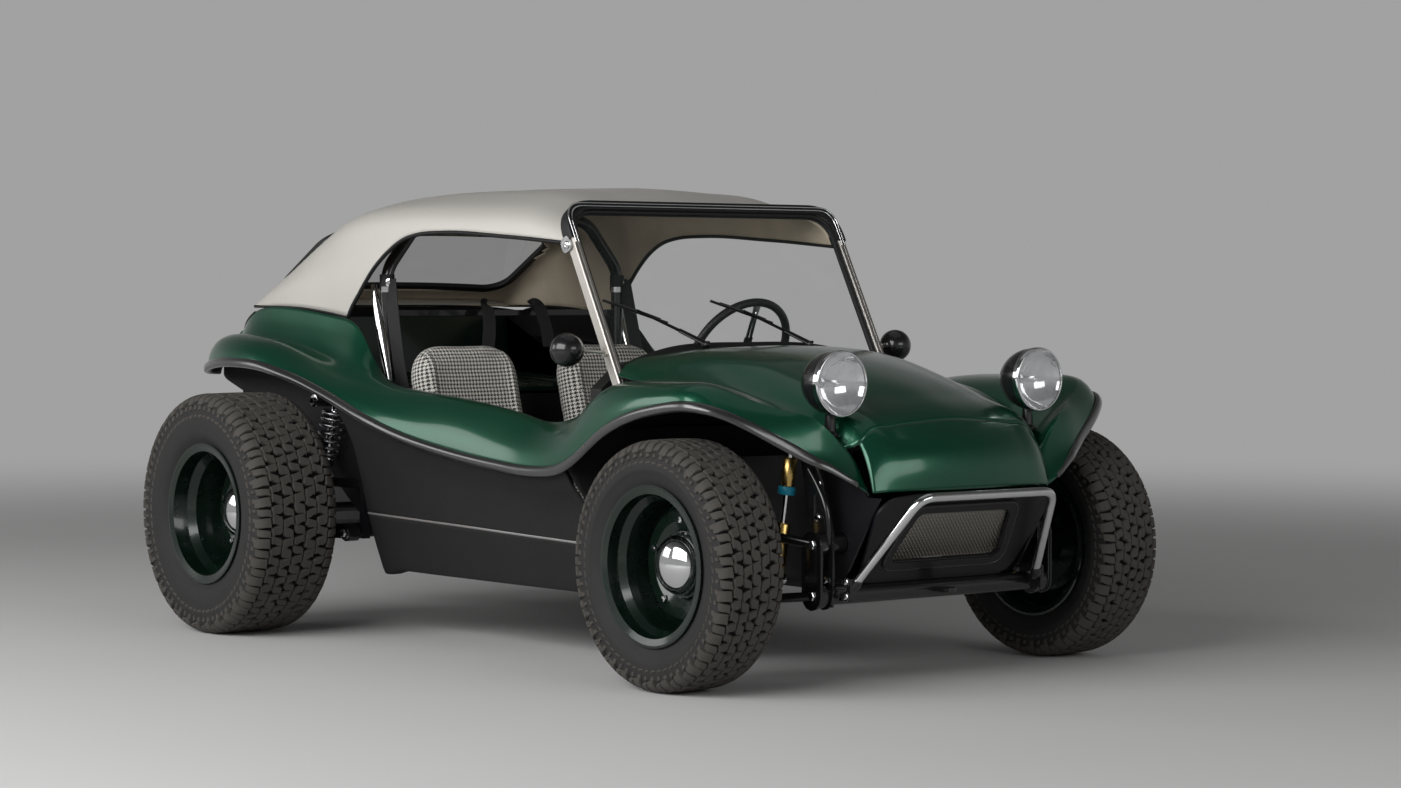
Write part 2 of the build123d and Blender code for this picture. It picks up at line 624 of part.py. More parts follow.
# Front beam: two cross tubes, shock towers, bumper brackets and steering rack.
tower_y = 386
tower_t = 8
damper_top = (1264, 432, 668)
damper_foot = (1232, 462, 300)
rack_mount_z = nose_floor_z + nose_floor_t + seat_gap
rack_mount_h = 14
with BuildPart() as front_beam:
    for z in (beam_low_z, beam_high_z):
        with BuildSketch(Plane.XZ.offset(beam_half)):
            with Locations((beam_x, z)):
                Circle(beam_tube_r)
        extrude(amount=-2 * beam_half)
    for side in (1, -1):
        with BuildSketch(Plane.XZ.offset(-side * tower_y)):
            with BuildLine():
                Polyline((1318, 228), (1386, 228), (1386, 430), (1340, 600), (1300, 686), (1236, 686), (1262, 600),
                         (1300, 430), close=True)
            make_face()
        extrude(amount=-side * tower_t)
    with Locations((1408, 361, 276), (1408, -361, 276)):
        Box(46, 12, 60)
    with Locations((1378, 372, 262), (1378, -372, 262)):
        Box(36, 30, 14)
    for side in (1, -1):
        add(rod((damper_top[0], side * (tower_y + 2), damper_top[2] + 6),
                (damper_top[0], side * (damper_top[1] + 18), damper_top[2] + 6), 8))
    with BuildSketch(Plane.XY.offset(beam_low_z - tow_t / 2)):
        with BuildLine():
            Polyline((beam_x + 14, -26), (beam_x + 34, -22), (tow_x, -21), (tow_x + 15, -15), (tow_x + 21, 0),
                     (tow_x + 15, 15), (tow_x, 21), (beam_x + 34, 22), (beam_x + 14, 26), close=True)
        make_face()
        with Locations((tow_x, 0)):
            Circle(tow_bore_r, mode=Mode.SUBTRACT)
    extrude(amount=tow_t)
save(front_beam.part, "front_beam")

with BuildPart() as steering_rack:
    with BuildSketch(Plane.XZ.offset(rack_half)):
        with Locations((rack_x, rack_z)):
            Circle(20)
    extrude(amount=-2 * rack_half)
    with Locations((rack_x, 90, rack_mount_z), (rack_x, -90, rack_mount_z)):
        Box(44, 24, rack_mount_h, align=(Align.CENTER, Align.CENTER, Align.MIN))
save(steering_rack.part, "steering_rack")

# Front arms: each side has two arms from the beam's ends to eyes above and below the knuckle.
knuckle_low = 254
knuckle_high = 426
eye_h = 24
with BuildPart() as front_arms:
    for z, eye_z, bar_end in ((beam_low_z, knuckle_low - eye_h / 2 - 1, -5), (beam_high_z, knuckle_high + eye_h / 2 + 1, 7)):
        with BuildSketch(Plane.XZ.offset(-(beam_half + seat_gap))):
            with Locations((beam_x, z)):
                Circle(34)
        extrude(amount=-24)
        add(rod((beam_x, beam_half + 14, z), (front_axle_x, kingpin_y, eye_z + bar_end), 13))
        with BuildSketch(Plane.XY.offset(eye_z - eye_h / 2)):
            with Locations((front_axle_x, kingpin_y)):
                Circle(23)
        extrude(amount=eye_h)
    add(rod((damper_foot[0], 503, 247), (damper_foot[0], damper_foot[1] + 24, damper_foot[2]), 8))
    add(rod((damper_foot[0], damper_foot[1] - 16, damper_foot[2]), (damper_foot[0], damper_foot[1] + 30, damper_foot[2]), 8))
    with BuildSketch(Plane.XY.offset(knuckle_low - 4)):
        with Locations((front_axle_x, kingpin_y)):
            Circle(kingpin_r)
    extrude(amount=30)
    with BuildSketch(Plane.XY.offset(knuckle_high - 26)):
        with Locations((front_axle_x, kingpin_y)):
            Circle(kingpin_r)
    extrude(amount=30)
save(front_arms.part + mirrored(front_arms.part), "front_arms")

with BuildPart() as front_dampers:
    foot = Vector(*damper_foot)
    top = Vector(*damper_top)
    way = (top - foot).normalized()
    add(rod(foot + way * 10, foot + way * 200, damper_r))
    add(rod(foot + way * 190, top, 8))
    with BuildSketch(Plane.XZ.offset(-(damper_top[1] - 12))):
        with Locations((damper_top[0], damper_top[2] + 6)):
            Circle(18)
    extrude(amount=-24)
    with BuildSketch(Plane.XZ.offset(-(damper_top[1] - 30))):
        with Locations((damper_top[0], damper_top[2] + 6)):
            Circle(8 + seat_gap)
    extrude(amount=-60, mode=Mode.SUBTRACT)
    with BuildSketch(Plane.XZ.offset(-(damper_foot[1] - 12))):
        with Locations((damper_foot[0], damper_foot[2])):
            Circle(18)
    extrude(amount=-24)
    with BuildSketch(Plane.XZ.offset(-(damper_foot[1] - 30))):
        with Locations((damper_foot[0], damper_foot[2])):
            Circle(8 + seat_gap)
    extrude(amount=-60, mode=Mode.SUBTRACT)
save(front_dampers.part + mirrored(front_dampers.part), "front_dampers")

# Front knuckle: upright on the kingpin, spindle, brake back plate and steering arm.
with BuildPart() as knuckle_left:
    with BuildSketch(Plane.XY.offset(knuckle_low)):
        with Locations((front_axle_x, kingpin_y)):
            Circle(21)
    extrude(amount=knuckle_high - knuckle_low)
    with BuildSketch(Plane.XZ.offset(-kingpin_y)):
        with Locations((front_axle_x, front_tyre_r)):
            Circle(spindle_r)
    extrude(amount=-118)
    with BuildSketch(Plane.XZ.offset(-(kingpin_y + 14))):
        with Locations((front_axle_x, front_tyre_r)):
            Circle(76)
    extrude(amount=-12)
    add(rod((front_axle_x, kingpin_y, steer_arm_z), (rack_x, kingpin_y - steer_arm_in, steer_arm_z), 9))
    with BuildSketch(Plane.XY.offset(steer_arm_z - 11)):
        with Locations((rack_x, kingpin_y - steer_arm_in)):
            Circle(15)
    extrude(amount=22)
    with BuildSketch(Plane.XY.offset(steer_arm_z)):
        with Locations((rack_x, kingpin_y - steer_arm_in)):
            Circle(6)
    extrude(amount=38)
    for z in (knuckle_low - 1, knuckle_high - 27):
        with BuildSketch(Plane.XY.offset(z)):
            with Locations((front_axle_x, kingpin_y)):
                Circle(kingpin_r + run_gap)
        extrude(amount=28, mode=Mode.SUBTRACT)
save(knuckle_left.part, "knuckle_left")
save(mirrored(knuckle_left.part), "knuckle_right")

with BuildPart() as tie_rod_left:
    with BuildSketch(Plane.XY.offset(rack_z - 12)):
        with Locations((rack_x, kingpin_y - steer_arm_in)):
            Circle(14)
    extrude(amount=24)
    add(rod((rack_x, kingpin_y - steer_arm_in, rack_z), (rack_x, rack_half + 76, rack_z), tie_rod_r))
    with BuildSketch(Plane.XY.offset(rack_z - 14)):
        with Locations((rack_x, kingpin_y - steer_arm_in)):
            Circle(6 + run_gap)
    extrude(amount=28, mode=Mode.SUBTRACT)
save(tie_rod_left.part, "tie_rod_left")
save(mirrored(tie_rod_left.part), "tie_rod_right")


def rim(name, face_y, width, axle_x, axle_z, bore_r, hub_from, hub_to, nave_in):
    """Deep-dished steel rim with its nave, hub and domed cap; left side."""
    back_y = face_y - width
    w = rim_wall
    well = width * 0.32
    with BuildPart() as wheel:
        with BuildSketch(Plane.YZ.offset(axle_x)):
            with BuildLine():
                Polyline((face_y, rim_flange_r), (face_y - 8, rim_flange_r), (face_y - 12, rim_seat_r),
                         (face_y - 0.7 * well, rim_seat_r - 1), (face_y - well, rim_well_r), (back_y + well, rim_well_r),
                         (back_y + 0.7 * well, rim_seat_r - 1), (back_y + 12, rim_seat_r), (back_y + 8, rim_flange_r),
                         (back_y, rim_flange_r), (back_y, rim_flange_r - w), (back_y + 5, rim_seat_r - w),
                         (back_y + 0.66 * well, rim_seat_r - 1 - w), (back_y + 0.96 * well, rim_well_r - w),
                         (face_y - 0.96 * well, rim_well_r - w), (face_y - 0.66 * well, rim_seat_r - 1 - w),
                         (face_y - 5, rim_seat_r - w), (face_y, rim_flange_r - w), close=True)
            make_face()
            with BuildLine():
                Polyline((nave_in, rim_well_r - w + 2), (nave_in + 12, rim_well_r - w + 2), (nave_in + 34, 150),
                         (nave_in + 36, 118), (nave_in + 22, 92), (nave_in + 46, 84), (nave_in + 66, 58),
                         (nave_in + 74, 30), (nave_in + 76, 0.5), (nave_in + 70, 0.5), (nave_in + 60, 56),
                         (nave_in + 40, 76), (nave_in + 14, 80), (nave_in + 28, 120), (nave_in + 26, 148), close=True)
            make_face()
        revolve(axis=Axis((axle_x, 0, 0), (0, 1, 0)))
        with BuildSketch(Plane.XZ.offset(-hub_from)):
            with Locations((axle_x, 0)):
                Circle(hub_r)
                Circle(bore_r + run_gap, mode=Mode.SUBTRACT)
        extrude(amount=-(hub_to - hub_from))
        with BuildSketch(Plane.XZ.offset(-(nave_in + 16))):
            with Locations((axle_x, 0)):
                Circle(84)
                Circle(hub_r - 1, mode=Mode.SUBTRACT)
        extrude(amount=-7)
    left = wheel.part.moved(Location((0, 0, axle_z)))
    save(left, name + "_left")
    save(mirrored(left), name + "_right")


def tyre(name, face_y, rim_width, width, radius, axle_x):
    """Tyre seated on its rim; left side. Columns: distance from the middle, radius."""
    mid = face_y - rim_width / 2
    bead = rim_width / 2 - 12
    half = width / 2
    with BuildPart() as body:
        with BuildSketch(Plane.YZ.offset(axle_x)):
            with BuildLine():
                Polyline((mid - bead, rim_seat_r + seat_gap), (mid + bead, rim_seat_r + seat_gap),
                         (mid + bead + 1.5, rim_flange_r + 2), (mid + half - 4, rim_flange_r + 40),
                         (mid + half, radius - 70), (mid + half - 6, radius - 38), (mid + half - 22, radius - 12),
                         (mid + half - 46, radius - 2), (mid, radius), (mid - half + 46, radius - 2),
                         (mid - half + 22, radius - 12), (mid - half + 6, radius - 38), (mid - half, radius - 70),
                         (mid - half + 4, rim_flange_r + 40), (mid - bead - 1.5, rim_flange_r + 2), close=True)
            make_face()
        revolve(axis=Axis((axle_x, 0, 0), (0, 1, 0)))
    left = body.part.moved(Location((0, 0, radius)))
    save(left, name + "_left")
    save(mirrored(left), name + "_right")


rim("rim_front", front_rim_face_y, front_rim_w, front_axle_x, front_tyre_r, spindle_r, 632, 690, 664)
tyre("tyre_front", front_rim_face_y, front_rim_w, front_tyre_w, front_tyre_r, front_axle_x)

# Rear drive: motor and gearbox block, shafts, arms, subframe and coil-over springs.
shaft_rear_r = 16
carrier_y = 650
carrier_w = 70
rim("rim_rear", rear_rim_face_y, rear_rim_w, rear_axle_x, rear_tyre_r, shaft_rear_r, 770, 856, 830)
tyre("tyre_rear", rear_rim_face_y, rear_rim_w, rear_tyre_w, rear_tyre_r, rear_axle_x)

gear_half = 130
motor_w = 480
with BuildPart() as axle_left:
    with BuildSketch(Plane.XZ.offset(-(gear_half + seat_gap))):
        with Locations((rear_axle_x, rear_tyre_r)):
            Circle(shaft_rear_r)
    extrude(amount=-(858 - gear_half - seat_gap))
    with BuildSketch(Plane.XZ.offset(-(carrier_y + carrier_w + 6))):
        with Locations((rear_axle_x, rear_tyre_r)):
            Circle(50)
    extrude(amount=-42)
save(axle_left.part, "axle_left")
save(mirrored(axle_left.part), "axle_right")

arm_pivot_x = -640
arm_pivot_z = 318
arm_low_z = 300
arm_h = 46
arm_run = arm_pivot_x - rear_axle_x
coil_foot = Vector(rear_axle_x + 0.18 * arm_run, 600, 490)
coil_top = Vector(rear_axle_x + 0.373 * arm_run, 586, 710)
link_low_z = 456
link_high_z = 484
bracket_x = arm_pivot_x - 12
# Arm outline: share of the way from the axle to the pivot, distance y from the middle.
arm_outline = [(0.913, 430), (0.913, 660), (0.64, 712), (0.2, 716), (-0.087, 700), (-0.087, 652), (0.04, 588),
               (0.2, 582), (0.71, 430)]
with BuildPart() as rear_arms:
    with BuildSketch(Plane.XY.offset(arm_low_z)):
        with BuildLine():
            Polyline(*[(rear_axle_x + share * arm_run, y) for share, y in arm_outline], close=True)
        make_face()
    extrude(amount=arm_h)
    with BuildSketch(Plane.XZ.offset(-(coil_foot.Y - 12))):
        with BuildLine():
            Polyline((coil_foot.X - 24, arm_low_z + arm_h - 2), (coil_foot.X + 26, arm_low_z + arm_h - 2),
                     (coil_foot.X + 22, link_low_z), (bracket_x - seat_gap, link_low_z),
                     (bracket_x - seat_gap, link_high_z), (coil_foot.X - 20, link_high_z), close=True)
        make_face()
    extrude(amount=-24)
    with BuildSketch(Plane.XZ.offset(-carrier_y)):
        with Locations((rear_axle_x, rear_tyre_r)):
            Circle(60)
    extrude(amount=-carrier_w)
    with BuildSketch(Plane.XZ.offset(-(carrier_y - 2))):
        with Locations((rear_axle_x, rear_tyre_r)):
            Circle(shaft_rear_r + run_gap)
    extrude(amount=-(carrier_w + 4), mode=Mode.SUBTRACT)
    with BuildSketch(Plane.XZ.offset(-430)):
        with Locations((arm_pivot_x, arm_pivot_z)):
            Circle(26)
            Circle(14, mode=Mode.SUBTRACT)
    extrude(amount=-40)
    with BuildSketch(Plane.XZ.offset(-620)):
        with Locations((arm_pivot_x, arm_pivot_z)):
            Circle(26)
            Circle(14, mode=Mode.SUBTRACT)
    extrude(amount=-40)
save(rear_arms.part + mirrored(rear_arms.part), "rear_arms")

with BuildPart() as rear_subframe:
    with BuildSketch(Plane.XZ.offset(664)):
        with Locations((arm_pivot_x, arm_pivot_z)):
            Circle(13.8)
    extrude(amount=-1328)
    with Locations((arm_pivot_x + 23.1, 0, arm_pivot_z)):
        Box(52, 700, 44)
    for side in (1, -1):
        with Locations((bracket_x + 12, side * (coil_foot.Y - 12), (arm_pivot_z - 20 + link_high_z) / 2)):
            Box(24, 24, link_high_z - arm_pivot_z + 20)
    with BuildSketch(Plane.XZ.offset(668)):
        with Locations((coil_top.X, 730)):
            Circle(19)
    extrude(amount=-1336)
    for side in (1, -1):
        with Locations((-690, side * 390, 520)):
            Box(24, 30, 404)
        with Locations(((coil_top.X - 678) / 2, side * 390, 716)):
            Box(-678 - coil_top.X, 30, 30)
save(rear_subframe.part, "rear_subframe")

with BuildPart() as rear_coilovers:
    way = (coil_top - coil_foot).normalized()
    add(rod(coil_foot, coil_foot + way * 110, 22))
    add(rod(coil_foot + way * 100, coil_top, 9))
    for step in (72, 93, 114, 135, 156, 177, 198):
        with BuildSketch(Plane(origin=coil_foot + way * step, z_dir=way)):
            Circle(42)
        extrude(amount=8)
    add(rod(coil_foot + way * 60, coil_foot + way * 212, 24))
save(rear_coilovers.part + mirrored(rear_coilovers.part), "rear_coilovers")

gear_front_x = rear_axle_x + 76
gear_rear_x = rear_axle_x - 264
motor_rear_x = -overall_length / 2 + 116
mount_x = arm_pivot_x - 2.9 - seat_gap
# Motor blocks: front x, rear x, width, low z, high z.
motor_blocks = [
    (mount_x, gear_front_x - 5, 150, 334, 465),
    (gear_rear_x + 5, motor_rear_x, motor_w, 280, 580),
]
with BuildPart() as motor:
    with Locations(((gear_front_x + gear_rear_x) / 2, 0, 400)):
        Box(gear_front_x - gear_rear_x, 2 * gear_half, 250)
    fillet(motor.edges().filter_by(Axis.X), 30)
    for front_x, back_x, wide, low_z, high_z in motor_blocks:
        with Locations(((front_x + back_x) / 2, 0, (low_z + high_z) / 2)):
            Box(front_x - back_x, wide, high_z - low_z)
save(motor.part, "motor")

# Tail: lamps and bumper hoop.
with BuildPart() as tail_lamps:
    with BuildSketch(Plane.YZ.offset(-1500.3)):
        with Locations((566, 884), (-566, 884)):
            Circle(36)
    extrude(amount=-26)
save(tail_lamps.part, "tail_lamps")
rear_bumper_r = 14
rear_stay_y = motor_w / 2 + rear_bumper_r + 2 * seat_gap
with BuildPart() as rear_bumper:
    tail_x = -overall_length / 2 + rear_bumper_r
    with BuildLine() as route:
        FilletPolyline((motor_rear_x + 85, -rear_stay_y, 330), (tail_x, -300, 560), (tail_x, 300, 560),
                       (motor_rear_x + 85, rear_stay_y, 330), radius=60)
    with BuildSketch(Plane(origin=route.line @ 0, z_dir=route.line % 0)):
        Circle(rear_bumper_r)
    sweep(path=route.line)
save(rear_bumper.part, "rear_bumper")
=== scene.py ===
import json

import bpy
import numpy as np
from mathutils import Matrix, Vector

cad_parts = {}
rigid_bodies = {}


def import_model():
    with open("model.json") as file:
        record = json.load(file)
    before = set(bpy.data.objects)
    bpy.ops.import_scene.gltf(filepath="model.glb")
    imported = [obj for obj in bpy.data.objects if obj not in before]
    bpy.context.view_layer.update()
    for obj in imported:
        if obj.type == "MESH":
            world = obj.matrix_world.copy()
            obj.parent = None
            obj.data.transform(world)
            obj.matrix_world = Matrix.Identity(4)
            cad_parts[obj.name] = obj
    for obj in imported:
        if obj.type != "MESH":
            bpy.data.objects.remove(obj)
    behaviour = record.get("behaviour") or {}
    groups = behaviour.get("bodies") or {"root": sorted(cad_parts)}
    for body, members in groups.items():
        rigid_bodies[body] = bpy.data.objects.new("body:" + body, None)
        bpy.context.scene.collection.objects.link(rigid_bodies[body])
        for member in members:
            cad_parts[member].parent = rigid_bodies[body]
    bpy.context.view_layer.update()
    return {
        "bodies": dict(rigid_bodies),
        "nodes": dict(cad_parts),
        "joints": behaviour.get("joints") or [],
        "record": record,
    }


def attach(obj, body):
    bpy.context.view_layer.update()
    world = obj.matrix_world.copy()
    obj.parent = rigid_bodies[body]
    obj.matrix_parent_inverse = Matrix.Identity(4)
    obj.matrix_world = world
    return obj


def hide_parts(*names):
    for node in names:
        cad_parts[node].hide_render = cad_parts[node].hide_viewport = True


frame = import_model()

bl_info = {
    "name": "Beach buggy dressing",
    "version": (1, 0, 0),
    "blender": (4, 5, 0),
    "location": "View3D > Sidebar > Buggy",
    "description": "Builds the paintwork, tyres, seats, lamps and trim of a beach buggy over its fixed frame",
    "category": "Object",
}

MM = 0.001
TAU = 2 * np.pi
# Width of a thread of the seats' cloth, in millimetres.
THREAD = 1.55
SIDES = ((1, "left"), (-1, "right"))


# Curves and grids


def slopes(steps, lengths):
    """Slope of each piece, and at each point the slope of the parabola through it and its neighbours."""
    s = steps / lengths
    w = lengths[1:] / (lengths[:-1] + lengths[1:])
    inner = w * s[:-1] + (1 - w) * s[1:]
    return s, np.concatenate([[1.5 * s[0] - 0.5 * inner[0]], inner, [1.5 * s[-1] - 0.5 * inner[-1]]])


def hermite(u, a, slope_a, b, slope_b):
    """Cubic from a to b as u goes from 0 to 1, with the slopes per unit of u."""
    return ((1 + 2 * u) * (1 - u) ** 2 * a + u * (1 - u) ** 2 * slope_a
            + u * u * (3 - 2 * u) * b + u * u * (u - 1) * slope_b)


def spline(knots, values, at):
    """Cubic Hermite curve through values at the knots. Works on the first axis of values."""
    k = np.asarray(knots, float)
    v = np.asarray(values, float)
    t = np.asarray(at, float)
    wide = [1] * (v.ndim - 1)
    d = np.diff(k)
    m = slopes(np.diff(v, axis=0), d.reshape(-1, *wide))[1]
    i = np.clip(np.searchsorted(k, t, side="right") - 1, 0, len(k) - 2)
    u = ((t - k[i]) / d[i]).reshape(-1, *wide)
    step = d[i].reshape(-1, *wide)
    return hermite(u, v[i], step * m[i], v[i + 1], step * m[i + 1])


def spans(*parts):
    """Evenly spaced numbers over each (first, last, count), one after the other."""
    return np.concatenate([np.linspace(*part) for part in parts])


def chord(points):
    """Running length along a polyline, starting at nought."""
    p = np.asarray(points, float)
    return np.concatenate([[0.0], np.cumsum(np.linalg.norm(np.diff(p, axis=0), axis=-1))])


def read_at(points, length, at):
    """Points of a polyline, whose running length is given, at other running lengths."""
    return np.stack([np.interp(at, length, column) for column in np.asarray(points, float).T], -1)


def along_straight(points, count):
    """Evenly spaced points on the polyline itself."""
    c = chord(points)
    return read_at(points, c, np.linspace(0, c[-1], count))


def along(points, count):
    """Evenly spaced points on the Hermite curve through a polyline."""
    c = chord(points)
    return along_straight(spline(c, points, np.linspace(0, c[-1], 16 * len(points))), count)


def around(outline, count):
    """Evenly spaced points round a closed outline, the first not repeated at the end."""
    return along_straight(np.concatenate([outline, outline[:1]]), count + 1)[:-1]


def across(points, per, creases=None):
    """Refines each row of a grid (rows, n, 3) by Hermite pieces, per steps to a piece. creases maps a
    column to a weight for each row: 1 breaks the slope there, 0 keeps it smooth."""
    p = np.asarray(points, float).swapaxes(0, 1)
    step = np.diff(p, axis=0)
    d = np.linalg.norm(step, axis=2, keepdims=True) + 1e-9
    s, m = slopes(step, d)
    left = m.copy()
    right = m.copy()
    for column, weight in (creases or {}).items():
        g = np.asarray(weight).reshape(-1, 1)
        left[column] = (1 - g) * m[column] + g * s[column - 1]
        right[column] = (1 - g) * m[column] + g * s[column]
    u = np.linspace(0, 1, per + 1)[:-1].reshape(1, per, 1, 1)
    q = hermite(u, p[:-1, None], (right[:-1] * d)[:, None], p[1:, None], (left[1:] * d)[:, None])
    return np.concatenate([q.reshape(-1, *p.shape[1:]), p[-1:]]).swapaxes(0, 1)


def fair(grid, rows):
    """Evens a grid along its first axis with a Gaussian of the given width in rows, the ends held by
    reflecting each column through its end point."""
    reach = int(3 * rows) + 1
    head = 2 * grid[:1] - grid[reach:0:-1]
    tail = 2 * grid[-1:] - grid[-2:-reach - 2:-1]
    long = np.concatenate([head, grid, tail])
    k = np.exp(-0.5 * (np.arange(-reach, reach + 1) / rows) ** 2)
    k /= k.sum()
    return sum(weight * long[i:i + len(grid)] for i, weight in enumerate(k))


def smoothstep(low, high, value):
    """Nought below low and one above high, and a smooth cubic between them. low may be above high."""
    t = np.clip((np.asarray(value, float) - low) / (high - low), 0, 1)
    return t * t * (3 - 2 * t)


def grid_faces(rows, columns, wrap_rows=False, wrap_columns=False, start=0):
    """Quads between neighbouring rows and columns of a grid of vertices."""
    i = np.arange(rows if wrap_rows else rows - 1)[:, None]
    j = np.arange(columns if wrap_columns else columns - 1)[None, :]
    a = i * columns + j
    b = i * columns + (j + 1) % columns
    c = (i + 1) % rows * columns + (j + 1) % columns
    d = (i + 1) % rows * columns + j
    return np.stack([a, b, c, d], -1).reshape(-1, 4) + start


class Shape:
    """Collects grids of points and their quads, in millimetres, until they become one mesh."""

    def __init__(self):
        self.points = []
        self.faces = []
        self.slots = []
        self.parts = []
        self.count = 0

    def add(self, points, faces, slot=0):
        """Adds one part: its points, and its faces or a list of them. slot is a number or one per face."""
        p = np.asarray(points, float).reshape(-1, 3)
        faces = faces if isinstance(faces, list) else [faces]
        self.points.append(p)
        self.parts.append((len(self.faces), len(self.faces) + len(faces)))
        self.faces += [np.asarray(f) + self.count for f in faces]
        self.slots += [np.broadcast_to(slot, len(f)) for f in faces]
        self.count += len(p)
        return self

    def grid(self, grid, wrap_rows=False, wrap_columns=False, slot=0, flip=False, cap=False):
        """Adds a grid of points as quads, closed on itself where it wraps. cap closes both end rows."""
        g = np.asarray(grid, float)
        f = grid_faces(g.shape[0], g.shape[1], wrap_rows, wrap_columns)
        if flip:
            f = f[:, ::-1]
        faces = [f]
        if cap:
            rows, columns = g.shape[:2]
            first = np.arange(columns)[None, :]
            last = first + (rows - 1) * columns
            faces += [first if flip else first[:, ::-1], last[:, ::-1] if flip else last]
        return self.add(g, faces, slot)

    def rod(self, grid, flip=False):
        """Adds a bar whose sections are the grid's rows, with both ends capped."""
        return self.grid(grid, wrap_columns=True, flip=flip, cap=True)

    def hoop(self, grid):
        """Adds a bar that closes on itself."""
        return self.grid(grid, wrap_rows=True, wrap_columns=True)

    def lathe(self, profile, axis, centre, count=96, flip=False):
        """Adds a surface of revolution."""
        return self.grid(turned(profile, axis, centre, count), wrap_rows=True, flip=flip)

    def outward(self):
        """Turns each closed part that encloses a negative volume, sum of centre . area / 3, the right way."""
        p = np.concatenate(self.points)
        for first, last in self.parts:
            used = np.unique(np.concatenate([f.ravel() for f in self.faces[first:last]]))
            middle = p[used].mean(0)
            volume = 0.0
            for f in self.faces[first:last]:
                q = p[f] - middle
                area = np.cross(q, np.roll(q, -1, 1)).sum(1) / 2
                volume += (q.mean(1) * area).sum()
            if volume < 0:
                self.faces[first:last] = [f[:, ::-1] for f in self.faces[first:last]]
        return self

    def join(self, other, shift=(0, 0, 0), side=1):
        """Adds another shape, shifted, and for side -1 mirrored to the right with its faces turned."""
        self.points += [(p + shift) * [1, side, 1] for p in other.points]
        self.faces += [f[:, ::side] + self.count for f in other.faces]
        self.slots += list(other.slots)
        self.count += other.count
        return self

    def mirrored(self):
        """Adds the same faces on the right side."""
        return self.join(self, side=-1)


def make(name, shape, body, looks, replaces=(), smooth=35, solid=0):
    """Turns a shape into an object that rides on a body."""
    points = np.concatenate(shape.points) * MM
    mesh = bpy.data.meshes.new(name)
    loops = [row for f in shape.faces for row in f.tolist()]
    mesh.from_pydata(points.tolist(), [], loops)
    mesh.validate()
    obj = bpy.data.objects.new(name, mesh)
    bpy.context.scene.collection.objects.link(obj)
    for look in looks:
        mesh.materials.append(bpy.data.materials[look])
    which = np.concatenate(shape.slots)
    if len(which) == len(mesh.polygons):
        mesh.polygons.foreach_set("material_index", which.astype(np.int32))
    mesh.polygons.foreach_set("use_smooth", np.ones(len(mesh.polygons), bool))
    mesh.set_sharp_from_angle(angle=np.radians(smooth))
    if solid:
        wall = obj.modifiers.new("Wall", "SOLIDIFY")
        wall.thickness = solid * MM
        wall.offset = -1
        if len(looks) > 1:
            wall.material_offset = 1
            wall.material_offset_rim = 1
    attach(obj, body)
    if replaces:
        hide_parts(*replaces)
    return obj


def turned(profile, axis, centre, count=96):
    """Surface of revolution: each (along, radius) of the profile carried round an axis through centre."""
    p = np.asarray(profile, float)
    a = np.linspace(0, TAU, count, endpoint=False)
    n = np.asarray(axis, float) / np.linalg.norm(axis)
    side = np.cross(n, [0, 0, 1] if abs(n[2]) < 0.9 else [1, 0, 0])
    side /= np.linalg.norm(side)
    other = np.cross(n, side)
    ring = np.cos(a)[:, None, None] * side + np.sin(a)[:, None, None] * other
    return np.asarray(centre, float) + p[None, :, :1] * n + p[None, :, 1:2] * ring


def tube(path, radius, sides=16, closed=False):
    """Circle of the given radius, or radii, carried square to a path by parallel transport."""
    p = np.asarray(path, float)
    n = len(p)
    if closed:
        t = np.roll(p, -1, 0) - np.roll(p, 1, 0)
    else:
        t = np.gradient(p, axis=0)
    t /= np.linalg.norm(t, axis=1, keepdims=True)
    u = np.cross(t[0], [0, 0, 1] if abs(t[0, 2]) < 0.9 else [0, 1, 0])
    frames = np.empty((n, 3))
    for i in range(n):
        u = u - t[i] * (u @ t[i])
        u = u / np.linalg.norm(u)
        frames[i] = u
    v = np.cross(t, frames)
    a = np.linspace(0, TAU, sides, endpoint=False)
    r = np.broadcast_to(np.asarray(radius, float), (n,))[:, None, None]
    ring = np.cos(a)[None, :, None] * frames[:, None] + np.sin(a)[None, :, None] * v[:, None]
    return p[:, None] + r * ring


def rounded_path(corners, radius, per=8, closed=False):
    """Polyline whose corners become arcs of the given radius, as bent tube has."""
    c = [np.asarray(p, float) for p in corners]
    out = []
    n = len(c)
    for i in range(n):
        if not closed and i in (0, n - 1):
            out.append(c[i][None])
            continue
        a, b, d = c[i - 1], c[i], c[(i + 1) % n]
        u = (a - b) / np.linalg.norm(a - b)
        w = (d - b) / np.linalg.norm(d - b)
        half = np.arccos(np.clip(u @ w, -1, 1)) / 2
        cut = min(radius / np.tan(half), 0.48 * np.linalg.norm(a - b), 0.48 * np.linalg.norm(d - b))
        start, end = b + u * cut, b + w * cut
        s = np.linspace(0, 1, per)[:, None]
        out.append((1 - s) ** 2 * start + 2 * s * (1 - s) * b + s * s * end)
    return np.concatenate(out)


# Shader wiring


class Wire:
    """One socket of a shader node, so that maths on it reads as Python."""

    def __init__(self, look, socket):
        self.look = look
        self.socket = socket

    def maths(self, operation, other=None, flip=False):
        node = self.look.tree.nodes.new("ShaderNodeMath")
        node.operation = operation
        pair = [other, self] if flip else [self, other]
        for value, socket in zip(pair, node.inputs):
            if value is not None:
                self.look.feed(socket, value)
        return Wire(self.look, node.outputs[0])

    def __add__(self, other):
        return self.maths("ADD", other)

    __radd__ = __add__

    def __mul__(self, other):
        return self.maths("MULTIPLY", other)

    __rmul__ = __mul__

    def __sub__(self, other):
        return self.maths("SUBTRACT", other)

    def __rsub__(self, other):
        return self.maths("SUBTRACT", other, flip=True)

    def __mod__(self, other):
        return self.maths("FLOORED_MODULO", other)


